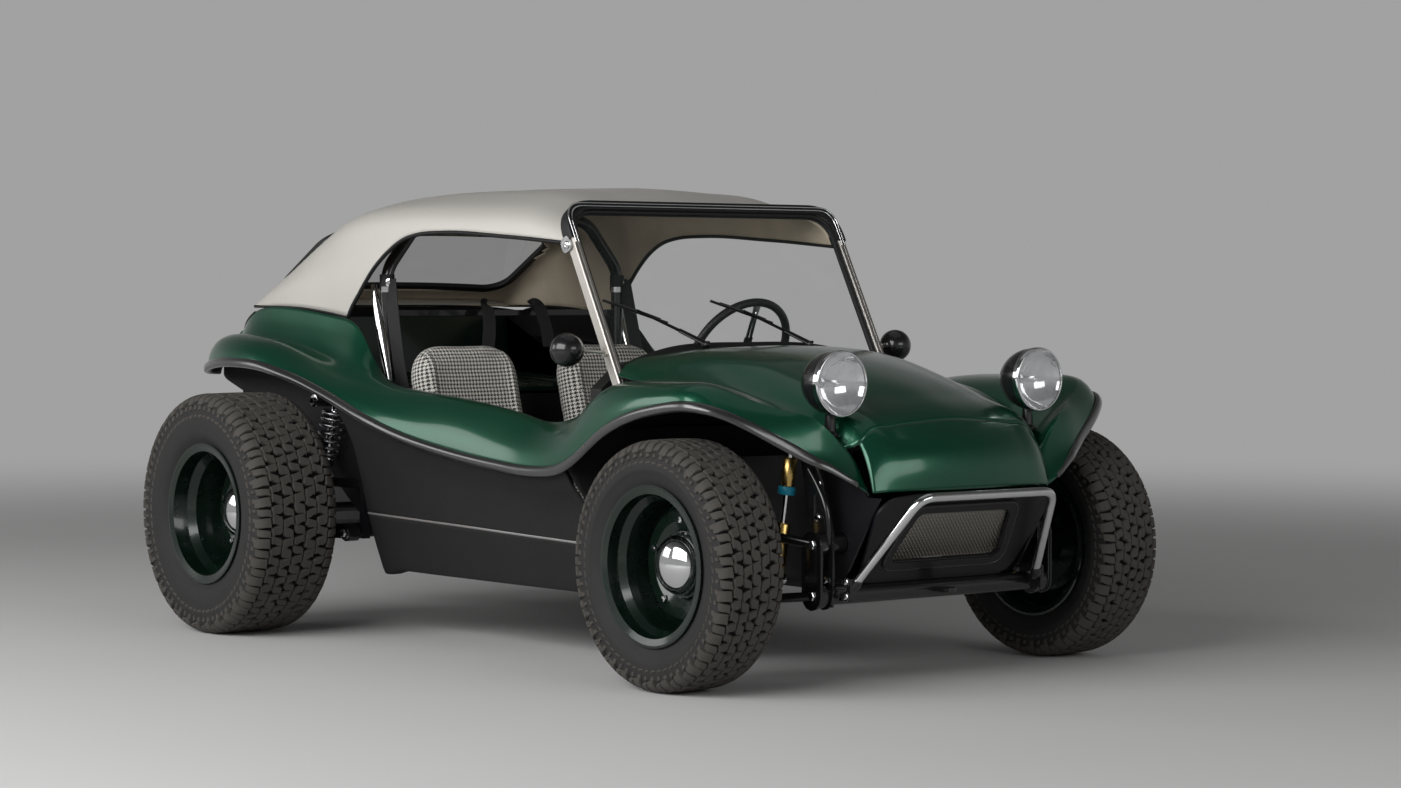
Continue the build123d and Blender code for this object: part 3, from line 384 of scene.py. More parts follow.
class Look:
    """A material and the wires that are laid in it."""

    def __init__(self, name):
        self.material = bpy.data.materials.new(name)
        self.material.use_nodes = True
        self.tree = self.material.node_tree
        self.shader = self.tree.nodes["Principled BSDF"]

    def feed(self, socket, value):
        if isinstance(value, Wire):
            self.tree.links.new(value.socket, socket)
        elif socket.type == "RGBA":
            socket.default_value = (*value, 1)
        else:
            socket.default_value = value

    def node(self, kind, output=0, settings=None, **inputs):
        n = self.tree.nodes.new(kind)
        for key, value in (settings or {}).items():
            setattr(n, key, value)
        for key, value in inputs.items():
            self.feed(n.inputs[key.replace("_", " ")], value)
        return Wire(self, n.outputs[output])

    def place(self):
        return self.node("ShaderNodeTexCoord", output="Object")

    def split(self, vector):
        n = self.tree.nodes.new("ShaderNodeSeparateXYZ")
        self.feed(n.inputs[0], vector)
        return [Wire(self, socket) for socket in n.outputs]

    def noise(self, scale, detail=3, roughness=0.5, vector=None):
        return self.node("ShaderNodeTexNoise", Vector=vector or self.place(), Scale=scale, Detail=detail,
                         Roughness=roughness)

    def mix(self, factor, first, second):
        n = self.tree.nodes.new("ShaderNodeMix")
        n.data_type = "RGBA"
        self.feed(n.inputs[0], factor)
        self.feed(n.inputs[6], first)
        self.feed(n.inputs[7], second)
        return Wire(self, n.outputs[2])

    def bump(self, height, distance, strength=1.0):
        n = self.tree.nodes.new("ShaderNodeBump")
        n.inputs["Distance"].default_value = distance
        n.inputs["Strength"].default_value = strength
        self.feed(n.inputs["Height"], height)
        self.tree.links.new(n.outputs[0], self.shader.inputs["Normal"])

    def set(self, **sockets):
        for key, value in sockets.items():
            self.feed(self.shader.inputs[key.replace("_", " ")], value)


def scaled(colour, factor, more=0.0):
    """Colour made darker or brighter by a factor."""
    return tuple(min(1, c * factor + more) for c in colour)


def paint_look(name, colour, rough, metallic, flake, coat=0.7):
    """Metallic lacquer: fine flake in the colour under a clear coat, with a faint orange-peel ripple."""
    look = Look(name)
    fine = look.noise(2600, 2)
    broad = look.noise(5, 2)
    tone = look.mix(fine * 0.7 + broad * 0.3, scaled(colour, 1 - flake), scaled(colour, 1 + flake, 0.004))
    look.set(Base_Color=tone, Metallic=metallic, Roughness=look.noise(40, 3) * 0.08 + (rough - 0.04),
             Specular_IOR_Level=0.3, Coat_Weight=coat, Coat_Roughness=0.11)
    look.bump(look.noise(210, 2), 0.00012, 0.35)
    return look


def satin_look(name, colour, rough, grain=900, depth=0.00008, metallic=0.0, specular=0.3, coat=0.0):
    """Plain satin or grained finish with slight wear in tone and gloss."""
    look = Look(name)
    cloud = look.noise(14, 4)
    tone = look.mix(cloud, scaled(colour, 0.85), scaled(colour, 1.15))
    look.set(Base_Color=tone, Metallic=metallic, Roughness=look.noise(60, 4) * 0.16 + (rough - 0.08),
             Specular_IOR_Level=specular, Coat_Weight=coat, Coat_Roughness=0.14)
    look.bump(look.noise(grain, 3), depth, 0.6)
    return look


def gloss_look(name, colour):
    """Black enamel: smooth under a thin clear coat, faintly rippled."""
    look = Look(name)
    look.set(Base_Color=look.mix(look.noise(20, 3), scaled(colour, 0.8), scaled(colour, 1.3)),
             Roughness=look.noise(50, 3) * 0.1 + 0.2, Coat_Weight=0.6, Coat_Roughness=0.04,
             Specular_IOR_Level=0.3)
    look.bump(look.noise(160, 2), 0.00008, 0.3)
    return look


def houndstooth_look(name, pale, dark):
    """Woven check from the piece's own map: warp and weft change colour every four threads, and a two-and-two
    twill, (i - j) mod 4 < 2, says which of them lies on top."""
    look = Look(name)
    u, v, _ = look.split(look.node("ShaderNodeUVMap", settings={"uv_map": "weave"}))
    scale = 1000 / THREAD
    i = (u * scale).maths("FLOOR")
    j = (v * scale).maths("FLOOR")
    on_top = ((i - j) % 4).maths("LESS_THAN", 2)
    warp = (i % 8).maths("LESS_THAN", 4)
    weft = (j % 8).maths("LESS_THAN", 4)
    is_dark = warp * on_top + weft * (1 - on_top)
    shade = look.noise(700, 3)
    colour = look.mix(is_dark, look.mix(shade, scaled(pale, 0.78), pale), dark)
    look.set(Base_Color=colour, Roughness=look.noise(90, 3) * 0.2 + 0.72, Specular_IOR_Level=0.2,
             Sheen_Weight=0.15)
    ridge = (u * (scale * TAU)).maths("SINE") * (v * (scale * TAU)).maths("SINE")
    look.bump(ridge, 0.0003, 0.5)
    return look


def metal_look(name, colour, rough, brushed=None):
    """Bare metal; brushed gives the stretch of the brushing along x, y and z."""
    look = Look(name)
    where = look.place()
    if brushed:
        where = look.node("ShaderNodeMapping", Vector=where, Scale=brushed)
    streak = look.noise(1, 6, 0.7, where) if brushed else look.noise(30, 4)
    look.set(Base_Color=look.mix(streak, scaled(colour, 0.86), colour), Metallic=1.0,
             Roughness=streak * 0.14 + (rough - 0.05))
    if brushed:
        look.bump(streak, 0.00005, 0.5)
    return look


def glass_look(name, colour, alpha, rough=0.02, flute=None):
    """Clear pane: a gloss surface that mostly lets the view through, denser where a film of dust lies, and
    optionally moulded in upright flutes of the given width in millimetres."""
    look = Look(name)
    dust_and_flute_streaks = look.noise(9, 4)
    if flute:
        wave = (look.split(look.place())[1] * (TAU * 1000 / flute)).maths("SINE")
        # Painted highlight: the flutes make the pane denser in upright stripes, which show its colour as
        # streaks of light.
        dust_and_flute_streaks = dust_and_flute_streaks + wave * 1.8 + 1.8
        look.bump(wave, 0.0006, 0.5)
    look.set(Base_Color=colour, Roughness=rough, Alpha=dust_and_flute_streaks * 0.04 + alpha, IOR=1.5, Coat_Weight=0.2,
             Coat_Roughness=0.02)
    look.material.surface_render_method = "BLENDED"
    return look


def wanted(props):
    """All finishes of the buggy."""
    green = tuple(props.body_colour)
    paint_look("green_lacquer", green, 0.30, 0.6, 0.3)
    satin_look("arch_black", (0.012, 0.012, 0.013), 0.75, 260, 0.0004)
    satin_look("side_satin", (0.011, 0.010, 0.012), 0.38, 500, 0.00006)
    # Pale grey bead on the black sides: its colour is a painted highlight of the crease's rounded edge.
    satin_look("crease_painted_highlight", (0.20, 0.19, 0.185), 0.3, 700, 0.00001, specular=0.8, coat=0.6)
    satin_look("trim_rubber", (0.016, 0.015, 0.016), 0.30, 700, 0.00001, specular=0.8, coat=0.9)
    satin_look("seal_rubber", (0.010, 0.010, 0.010), 0.5, 800, 0.00006)
    paint_look("wheel_lacquer", tuple(props.wheel_colour), 0.28, 0.3, 0.2)
    metal_look("polished", (0.80, 0.80, 0.81), 0.07)
    metal_look("brushed_alloy", (0.60, 0.57, 0.53), 0.36, (30, 30, 700))
    metal_look("machined", (0.55, 0.55, 0.56), 0.3, (500, 30, 500))
    metal_look("gold_body", (0.62, 0.43, 0.15), 0.24)
    metal_look("wire_metal", (0.62, 0.59, 0.53), 0.30)
    # Near-black and barely reflecting: painted shade for the dark inside of the nose behind the grille.
    satin_look("core_painted_shade", (0.004, 0.004, 0.004), 0.8, 200, 0.0002, specular=0.1)
    paint_look("cabin_green", (0.002, 0.014, 0.008), 0.34, 0.2, 0.2)
    glass_look("clear_pane", (0.12, 0.14, 0.13), 0.03)
    glass_look("dark_pane", (0.02, 0.025, 0.025), 0.22)
    glass_look("lens_glass", (0.80, 0.82, 0.84), 0.08, 0.03, flute=9)
    paint_look("top_silver", tuple(props.top_colour), 0.36, 0.85, 0.06, 0.25)
    satin_look("top_lining", (0.66, 0.57, 0.44), 0.7, 1500, 0.0002)
    satin_look("cabin_black", (0.014, 0.014, 0.014), 0.6, 900, 0.0002)
    satin_look("tyre_side", (0.022, 0.021, 0.021), 0.72, 240, 0.0003)
    satin_look("tyre_tread", (0.060, 0.055, 0.049), 0.80, 160, 0.0006, specular=0.35)
    # Darkest rubber, for the tread's ground between the lugs: painted shade in its hollows.
    satin_look("tyre_groove_painted_shade", (0.006, 0.006, 0.006), 0.9, 200, 0.0004, specular=0.1)
    satin_look("grip_black", (0.012, 0.012, 0.012), 0.42, 300, 0.0002)
    satin_look("dial_black", (0.006, 0.006, 0.007), 0.2, 300, 0.00002)
    metal_look("spring_steel", (0.36, 0.36, 0.37), 0.26)
    gloss_look("bar_gloss", (0.008, 0.008, 0.009))
    gloss_look("black_gloss", (0.009, 0.009, 0.010))
    houndstooth_look("houndstooth", (0.80, 0.78, 0.72), (0.008, 0.008, 0.009))
    satin_look("webbing", (0.018, 0.018, 0.019), 0.7, 2200, 0.0002)
    satin_look("cast", (0.16, 0.16, 0.155), 0.55, 500, 0.0004, metallic=0.8)
    satin_look("engine_black", (0.030, 0.030, 0.032), 0.5, 400, 0.0003, metallic=0.5)
    satin_look("cyan_ring", (0.01, 0.20, 0.30), 0.4)
    satin_look("red_lens", (0.42, 0.008, 0.006), 0.12, 300, 0.0003)


# Body surface, left half, in millimetres. Each row is a station: x, then (y, z) from the inner edge over
# the crest to the outer lip.
SIDE = [
    (-1500, (520, 945), (532, 925), (552, 900), (575, 880), (592, 865), (604, 845), (610, 825)),
    (-1450, (538, 980), (554, 945), (588, 905), (630, 895), (658, 880), (676, 858), (684, 828)),
    (-1390, (545, 1010), (562, 965), (600, 925), (664, 925), (697, 907), (717, 878), (727, 836)),
    (-1300, (548, 1026), (566, 972), (602, 930), (680, 937), (720, 920), (746, 888), (757, 850)),
    (-1163, (550, 1026), (568, 962), (604, 920), (688, 936), (734, 922), (767, 893), (782, 859)),
    (-950, (552, 1008), (570, 950), (606, 898), (684, 905), (734, 893), (764, 873), (778, 850)),
    (-840, (553, 996), (572, 932), (608, 876), (672, 868), (716, 856), (748, 842), (765, 827)),
    (-750, (556, 985), (580, 925), (614, 862), (662, 842), (704, 830), (736, 818), (753, 805)),
    (-690, (560, 945), (590, 900), (624, 850), (658, 824), (696, 810), (728, 798), (747, 786)),
    (-600, (564, 836), (594, 838), (624, 826), (652, 806), (688, 788), (717, 772), (734, 757)),
    (-454, (570, 778), (598, 790), (625, 788), (652, 774), (682, 752), (704, 728), (718, 703)),
    (-302, (575, 764), (600, 776), (625, 773), (650, 757), (676, 730), (698, 696), (710, 660)),
    (0, (580, 742), (604, 753), (628, 747), (650, 728), (672, 698), (690, 656), (700, 608)),
    (250, (585, 714), (608, 724), (630, 716), (652, 697), (674, 667), (694, 628), (705, 585)),
    (400, (588, 692), (610, 700), (632, 694), (655, 678), (680, 652), (700, 618), (713, 577)),
    (500, (590, 706), (612, 715), (634, 709), (660, 692), (687, 662), (708, 624), (720, 579)),
    (610, (583, 742), (607, 752), (636, 748), (666, 732), (697, 700), (721, 655), (733, 594)),
    (660, (556, 783), (598, 785), (640, 780), (672, 765), (704, 735), (728, 684), (739, 614)),
    (710, (533, 815), (588, 815), (640, 811), (678, 800), (711, 772), (734, 715), (744, 638)),
    (810, (512, 812), (560, 820), (628, 830), (684, 828), (723, 808), (746, 760), (756, 694)),
    (950, (498, 800), (555, 820), (628, 833), (690, 835), (732, 824), (757, 793), (766, 748)),
    (1090, (470, 775), (540, 812), (625, 834), (690, 838), (735, 828), (761, 805), (768, 776)),
    (1237, (425, 735), (500, 785), (590, 816), (700, 835), (730, 826), (749, 811), (760, 789)),
    (1327, (395, 690), (440, 718), (505, 750), (576, 777), (615, 770), (650, 762), (682, 752)),
    (1405, (365, 650), (385, 673), (415, 702), (450, 729), (480, 712), (506, 690), (528, 666)),
    (1430, (352, 630), (359, 637), (366, 643), (374, 647), (410, 643), (444, 637), (476, 631)),
    (1453, (338, 570), (342, 575), (347, 579), (353, 583), (382, 590), (410, 597), (436, 603)),
    (1475, (336, 536), (341, 540), (347, 544), (354, 547), (363, 552), (371, 558), (380, 564)),
]


def side_rows(count):
    """Body side as rows along the car: the stations' points joined by Hermite curves along the length and
    then evened by a narrow Gaussian, except on the pointed front end."""
    p = np.array([[(x, y, z) for y, z in row] for x, *row in SIDE], float)
    step = np.linalg.norm(np.diff(p, axis=0), axis=2).mean(1)
    knots = np.concatenate([[0], np.cumsum(step)])
    rows = spline(knots, p, np.linspace(0, knots[-1], count))
    hold = smoothstep(1330, 1400, rows[:, 3, 0]).reshape(-1, 1, 1)
    return rows * hold + fair(rows, 3.2) * (1 - hold)


def side_surface():
    """Body side in its final fineness, with the crest sharp on the front fender only."""
    rows = side_rows(236)
    ridge = smoothstep(1180, 1330, rows[:, 3, 0])
    return across(rows, 6, {3: ridge})


# Hood, as profiles along the car at a distance y from its middle: (x, z) from the cowl to the nose. FLANK
# goes on outwards, where they end on the fender.
HOOD = [
    (0, (566, 916), (700, 925), (920, 905), (1120, 862), (1300, 803),
     (1430, 740), (1515, 645), (1528, 544)),
    (110, (566, 915), (700, 923), (915, 903), (1112, 860), (1290, 800),
     (1424, 738), (1510, 645), (1523, 544)),
    (220, (567, 912), (700, 918), (905, 896), (1095, 851), (1270, 794),
     (1415, 733), (1492, 646), (1510, 544)),
    (300, (570, 906), (690, 910), (885, 889), (1070, 842), (1250, 784),
     (1405, 726), (1470, 646), (1496, 543)),
    (334, (572, 902), (680, 904), (870, 881), (1050, 832), (1230, 774),
     (1390, 712), (1446, 646), (1486, 542)),
]
FLANK = [
    (352, (573, 900), (655, 901), (790, 888), (920, 858), (1050, 822),
     (1170, 780), (1290, 732), (1404, 660)),
    (392, (576, 896), (640, 895), (750, 880), (860, 855), (970, 826),
     (1080, 792), (1200, 752), (1312, 702)),
    (440, (580, 888), (630, 884), (710, 869), (800, 851), (890, 832),
     (980, 811), (1070, 789), (1160, 766)),
    (495, (590, 868), (625, 862), (670, 854), (720, 844), (770, 836),
     (825, 829), (880, 821), (935, 812)),
    (528, (604, 842), (620, 839), (640, 836), (660, 833), (680, 831),
     (700, 830), (720, 828), (735, 828)),
]


def hood_grids():
    """Hood as two grids that share a line of points: from the cowl to a line across the car at the
    valley's front end, over the full width, and from there down the nose between the fenders."""
    ys = np.array([row[0] for row in HOOD + FLANK], float)
    nose = HOOD[-1][0]
    first = []
    second = []
    for y, *profile in HOOD + FLANK:
        c = chord(profile)
        dense = spline(c, profile, np.linspace(0, c[-1], 400))
        length = chord(dense)
        line = np.insert(dense, 1, y, axis=1)
        cut = length[-1]
        if y <= nose:
            cut = np.interp(1428 + 10 * (1 - (y / nose) ** 2), dense[:, 0], length)
            second.append(read_at(line, length, np.linspace(cut, length[-1], 26)))
        first.append(read_at(line, length, np.linspace(0, cut, 70)))

    def spread(half, at):
        both = np.concatenate([half[:0:-1] * [1, -1, 1], half])
        knots = np.concatenate([-ys[:len(half)][:0:-1], ys[:len(half)]])
        return spline(knots, both, at).swapaxes(0, 1)

    inner = np.linspace(-nose, nose, 61)
    flank = np.linspace(nose, ys[-1], 20)[1:]
    upper = spread(np.array(first), np.concatenate([-flank[::-1], inner, flank]))
    lower = spread(np.array(second), inner)
    lower[0] = upper[-1, len(flank):len(flank) + len(inner)]
    return upper, lower


# Profile of the tail in the car's middle, as (x, z), and its edge at the fender, as (x, y, z).
TAIL = [(-1396, 1031), (-1430, 1028), (-1491, 1006), (-1557, 968), (-1584, 925), (-1592, 860),
        (-1588, 790), (-1570, 720)]
TAIL_EDGE = [(-1390, 545, 1010), (-1450, 538, 980), (-1500, 520, 945), (-1528, 506, 905), (-1540, 500, 858),
             (-1542, 500, 810), (-1538, 502, 765), (-1526, 506, 720)]


def tail_surface():
    """Tail between the fenders: the middle profile blended into the fender's inner edge by the fourth
    power of the distance across."""
    middle = along(TAIL, 40)
    edge = along(TAIL_EDGE, 40)
    w = np.linspace(-1, 1, 45)
    k = (np.abs(w) ** 4)[None, :]
    x = middle[:, None, 0] * (1 - k) + edge[:, None, 0] * k
    y = edge[:, None, 1] * w[None, :]
    z = middle[:, None, 1] * (1 - k) + edge[:, None, 2] * k
    return np.stack([x, y, z], -1)


def build_body():
    """Body shell: both sides with their rear ends rolled in, the hood, and the tail."""
    shape = Shape()
    side = side_surface()
    shape.grid(side, flip=True)
    rear = side[0]
    tip = np.array([-1548, 540, 815])
    turn = np.linspace(0, 1, 14)[:, None, None]
    cap = rear[None] * (1 - turn ** 2) + (rear[None] * [0, 0.25, 0.35] + tip * [1, 0.75, 0.65]) * turn ** 2
    cap[..., 0] = rear[None, :, 0] - 46 * np.sin(turn[..., 0] * np.pi / 2)
    shape.grid(cap)
    shape.mirrored()
    upper, lower = hood_grids()
    shape.grid(upper, flip=True)
    shape.grid(lower, flip=True)
    shape.grid(tail_surface())
    make("body_shell", shape, "chassis", ["green_lacquer", "arch_black"], ("tub_sides", "hood", "rear_deck"),
         smooth=38, solid=5)


def build_shelf():
    """Luggage shelf behind the seats, which closes the cabin from the motor, and its rising rear edge."""
    line = [(-684, 752), (-684, 766), (-900, 776), (-1150, 788), (-1396, 800), (-1420, 990), (-1410, 990),
            (-1384, 790), (-1150, 776), (-900, 764), (-700, 752)]
    shape = Shape()
    shape.rod(np.stack([[(x, y, z) for x, z in line] for y in (-500, -250, 0, 250, 500)]))
    for y in np.linspace(-420, 420, 9):
        shape.rod(tube(np.array([(-720, y, 768.5), (-1370, y, 798.5)]), 5.0, 8))
    shape.outward()
    make("luggage_shelf", shape, "chassis", ["cabin_green"], (), smooth=30)


# Section of the moulding: distance past the lip, and square to it.
TRIM = [(-3, -3), (0, -7), (4, -10), (9, -11.5), (13, -11), (17, -10.5), (21, -9), (25, -6), (27, -1),
        (27, 5), (24, 8), (10, 8.5), (-2, 8.5)]


def build_trim():
    """Moulding round the lower edge: a hooked section carried along the body side's lip."""
    rows = side_rows(300)
    lip = rows[:, 6]
    out = lip - rows[:, 5]
    out[:, 0] = 0
    out /= np.linalg.norm(out, axis=1, keepdims=True)
    inward = np.stack([np.zeros(len(out)), out[:, 2], -out[:, 1]], -1)
    t = along(TRIM + TRIM[:1], 24)[:-1]
    size = (1 - 0.35 * smoothstep(1440, 1475, lip[:, 0]))[:, None, None]
    grid = lip[:, None] + size * (t[None, :, :1] * out[:, None] + t[None, :, 1:] * inward[:, None])
    shape = Shape().rod(grid).mirrored()
    make("edge_trim", shape, "chassis", ["trim_rubber"], ("edge_mouldings",), smooth=45)


# Wheels. Columns: name end, tyre radius, tyre width, rim width, rim face y, nave y, axle x, rows of lugs.
WHEELS = [
    ("front", 343, 215, 190, 810, 664, 1116, 33),
    ("rear", 379, 285, 254, 1014, 830, -916, 36),
]
# Lug rows of half a tread. Columns: middle and breadth as shares of half the tyre's width, length,
# waviness and phase in pitches, and height in millimetres.
LUG_ROWS = [
    (0.00, 0.240, 0.5, 0.15, 0.00, 9.0),
    (0.285, 0.240, 0.5, 0.18, 0.27, 9.0),
    (0.565, 0.240, 0.5, -0.16, 0.05, 9.0),
    (0.875, 0.30, 0.5, 0.09, 0.33, 8.5),
    (1.115, 0.10, 0.25, 0.0, 0.12, 4.5),
    (1.30, 0.05, 0.44, 0.02, 0.05, 1.6),
]


def carcass(radius, width, rim_width):
    """Half section of a tyre from the tread's middle over the shoulder to the bead, as (across, radius)."""
    half = width / 2
    bead = rim_width / 2 - 12
    foot = radius - 9.0
    points = [(0, foot), (half * 0.3, foot - 0.3), (half * 0.55, foot - 1.2), (half - 24, foot - 4),
              (half - 11, foot - 13), (half - 6, radius - 34),
              (half - 5, radius - 48), (half - 3.5, radius - 62), (half - 3, radius - 80), (half - 7, 254),
              (half - 13, 240), (bead + 6, 229), (bead + 2.5, 222), (bead, 212), (bead, 203.6)]
    return along(points, 44)


def lug_faces():
    """Quads of one lug of 3 by 5 points: its sides from the foot up, its chamfer, and its top."""
    rim = np.array([0, 1, 2, 3, 4, 9, 14, 13, 12, 11, 10, 5])
    m = len(rim)
    at = np.arange(m)
    after = (at + 1) % m
    sides = np.stack([at, after, after + m, at + m], -1)
    chamfer = np.stack([at + m, after + m, rim[after] + 2 * m, rim[at] + 2 * m], -1)
    return rim, np.concatenate([sides[:, ::-1], chamfer[:, ::-1], grid_faces(3, 5, start=2 * m)])


def tread(radius, width, rim_width, pitches, seed):
    """Lugs of a tyre. Each is a patch laid on the carcass: s runs round, t across, and its top stands off
    along the carcass's normal. Its long edges wave, and its foot is wider than its top."""
    line = carcass(radius, width, rim_width)
    both = np.concatenate([line[:0:-1] * [-1, 1], line])
    run = chord(both)
    run = run - run[len(line) - 1]
    step = np.gradient(both, run, axis=0)
    out = np.stack([-step[:, 1], step[:, 0]], -1)
    out = out / np.linalg.norm(out, axis=1, keepdims=True)
    half = width / 2
    pitch = radius * TAU / pitches
    rng = np.random.default_rng(seed)
    rim, one = lug_faces()
    a = np.array([-1, 0, 1.0])[None, :, None]
    b = np.linspace(-1, 1, 5)[None, None, :]
    zig = np.array([0.35, -0.35, 0.1, 0.45, -0.3])[None, None, :]
    k = np.arange(pitches * 2)
    turns = (-1.0) ** k
    shape = Shape()
    for middle, breadth, length, wave, phase, height in LUG_ROWS:
        for side in ((1,) if middle == 0 else (1, -1)):
            vary = 1 + 0.10 * np.sin(k * TAU / 7.3 + middle * 9) + 0.05 * rng.standard_normal(len(k))
            centre = (k + phase + (0.21 if side < 0 else 0)) / 2
            size = length * 0.39 * vary if middle < 0.8 else length * 0.38 * (1 + 0.16 * turns)
            reach = breadth / 2 * half * (1 + (0.10 if 0.8 < middle < 1 else 0) * turns)
            start = side * (middle * half + reach - breadth / 2 * half)
            skew = side * wave * turns * (1.0 if middle < 0.8 else 0.6)
            centre, size, reach, start, skew = (v[:, None, None] for v in (centre, size, reach, start, skew))
            grids = []
            for inset, lift in ((-1.4, -0.5), (0.0, height - 1.2), (1.1, height)):
                s = (centre + skew * b * 0.5 + wave * 0.55 * zig * (0.6 + 0.4 * a)
                     + a * (size - inset / pitch))
                t = start + b * (reach - inset) + 1.6 * side * a * np.cos(b * 3)
                y = np.interp(t, run, both[:, 0]) + lift * np.interp(t, run, out[:, 0])
                r = np.interp(t, run, both[:, 1]) + lift * np.interp(t, run, out[:, 1])
                angle = s * TAU / pitches
                grids.append(np.stack([r * np.sin(angle), y, r * np.cos(angle)], -1).reshape(len(k), 15, 3))
            verts = np.concatenate([grids[0][:, rim], grids[1][:, rim], grids[2]], 1)
            faces = one[None] + (np.arange(len(k)) * verts.shape[1])[:, None, None]
            shape.add(verts, faces.reshape(-1, 4), slot=1)
    return shape


def spun(profile, x, z, count=100):
    """Closed or open ring made by turning (across, radius) pairs about a line along y through (x, z)."""
    p = np.asarray(profile, float)
    a = np.linspace(0, TAU, count, endpoint=False)[:, None]
    return np.stack([x + p[None, :, 1] * np.sin(a), np.broadcast_to(p[None, :, 0], (count, len(p))),
                     z + p[None, :, 1] * np.cos(a)], -1)


def build_tyres():
    """Tyres: a carcass with ribbed sidewalls and a dark ground under the tread, and the lugs on it."""
    for end, radius, width, rim_width, face_y, _, axle_x, pitches in WHEELS:
        mid = face_y - rim_width / 2
        line = carcass(radius, width, rim_width)
        section = np.concatenate([line[:0:-1] * [-1, 1], line])
        above = section[:, 1] - 262
        section[:, 0] += np.sign(section[:, 0]) * 0.9 * np.cos(above * TAU / 7) * (np.abs(above) < 8)
        inner = np.array([[line[-1, 0] - 14, 204], [line[-1, 0] - 16, 214], [0, 224]])
        section = np.concatenate([section, inner, inner[1::-1] * [-1, 1]])
        ring = spun(section + [mid, 0], axle_x, radius)
        middle = (section[:, 1] + np.roll(section[:, 1], -1)) / 2
        # The tread's ground between the lugs takes the darkest rubber: painted shade in its hollows.
        ground = np.tile(np.where(middle > radius - 25, 2, 0), len(ring))
        for side, hand in SIDES:
            shape = Shape().grid(ring * [1, side, 1], wrap_rows=True, wrap_columns=True, slot=ground,
                                 flip=side < 0)
            lugs = tread(radius, width, rim_width, pitches, 5 + (side < 0))
            shape.join(lugs, (axle_x, mid, radius), side)
            wheel = end + "_" + hand
            make("tread_" + wheel, shape, "wheel_" + wheel, ["tyre_side", "tyre_tread", "tyre_groove_painted_shade"],
                 ("tyre_" + wheel,), smooth=40)


# Black lower sides. Columns: x, then (y, z) points below the lip; the fourth is the crease.
SKIRT = [
    (-840, (714, 742), (688, 692), (663, 642), (640, 600), (600, 540)),
    (-750, (712, 735), (686, 680), (655, 600), (634, 500), (594, 440)),
    (-690, (706, 720), (676, 650), (650, 570), (612, 386), (572, 326)),
    (-600, (692, 690), (664, 620), (640, 530), (612, 384), (566, 216)),
    (-454, (678, 640), (656, 580), (636, 510), (612, 381), (566, 217)),
    (-302, (672, 600), (650, 550), (634, 490), (612, 378), (566, 217)),
    (0, (664, 550), (645, 515), (630, 470), (611, 372), (566, 218)),
    (250, (668, 530), (645, 495), (630, 455), (610, 366), (566, 219)),
    (400, (674, 522), (648, 485), (630, 450), (609, 363), (566, 220)),
    (500, (682, 522), (652, 485), (632, 448), (609, 361), (566, 220)),
    (610, (694, 535), (660, 495), (636, 452), (608, 360), (566, 221)),
]
# Rear edge of the black lower side, as (x, z).
SKIRT_REAR = [(-850, 815), (-700, 762), (-625, 722), (-594, 600), (-585, 450), (-572, 300), (-555, 190)]

# Wall inside the rear arch. Columns: x, y, lower and upper z.
ARCH = [
    (-1496, 600, 798, 843),
    (-1470, 608, 786, 856),
    (-1430, 598, 765, 862),
    (-1340, 574, 725, 872),
    (-1216, 556, 690, 884),
    (-1000, 545, 570, 872),
    (-850, 538, 440, 850),
    (-700, 538, 345, 820),
    (-560, 545, 300, 760),
]

# Rim of the wall that closes the tub at the front wheel, and the upper bulkhead's edge: both (y, z).
WALL_RIM = [(570, 222), (606, 360), (633, 452), (657, 497), (690, 540), (726, 594), (715, 652), (691, 695),
            (661, 726), (634, 741), (606, 745), (584, 738)]
BULKHEAD = [(0, 912), (110, 910), (220, 906), (300, 899), (352, 891), (392, 886), (440, 875), (495, 851),
            (528, 826), (545, 792), (572, 748)]


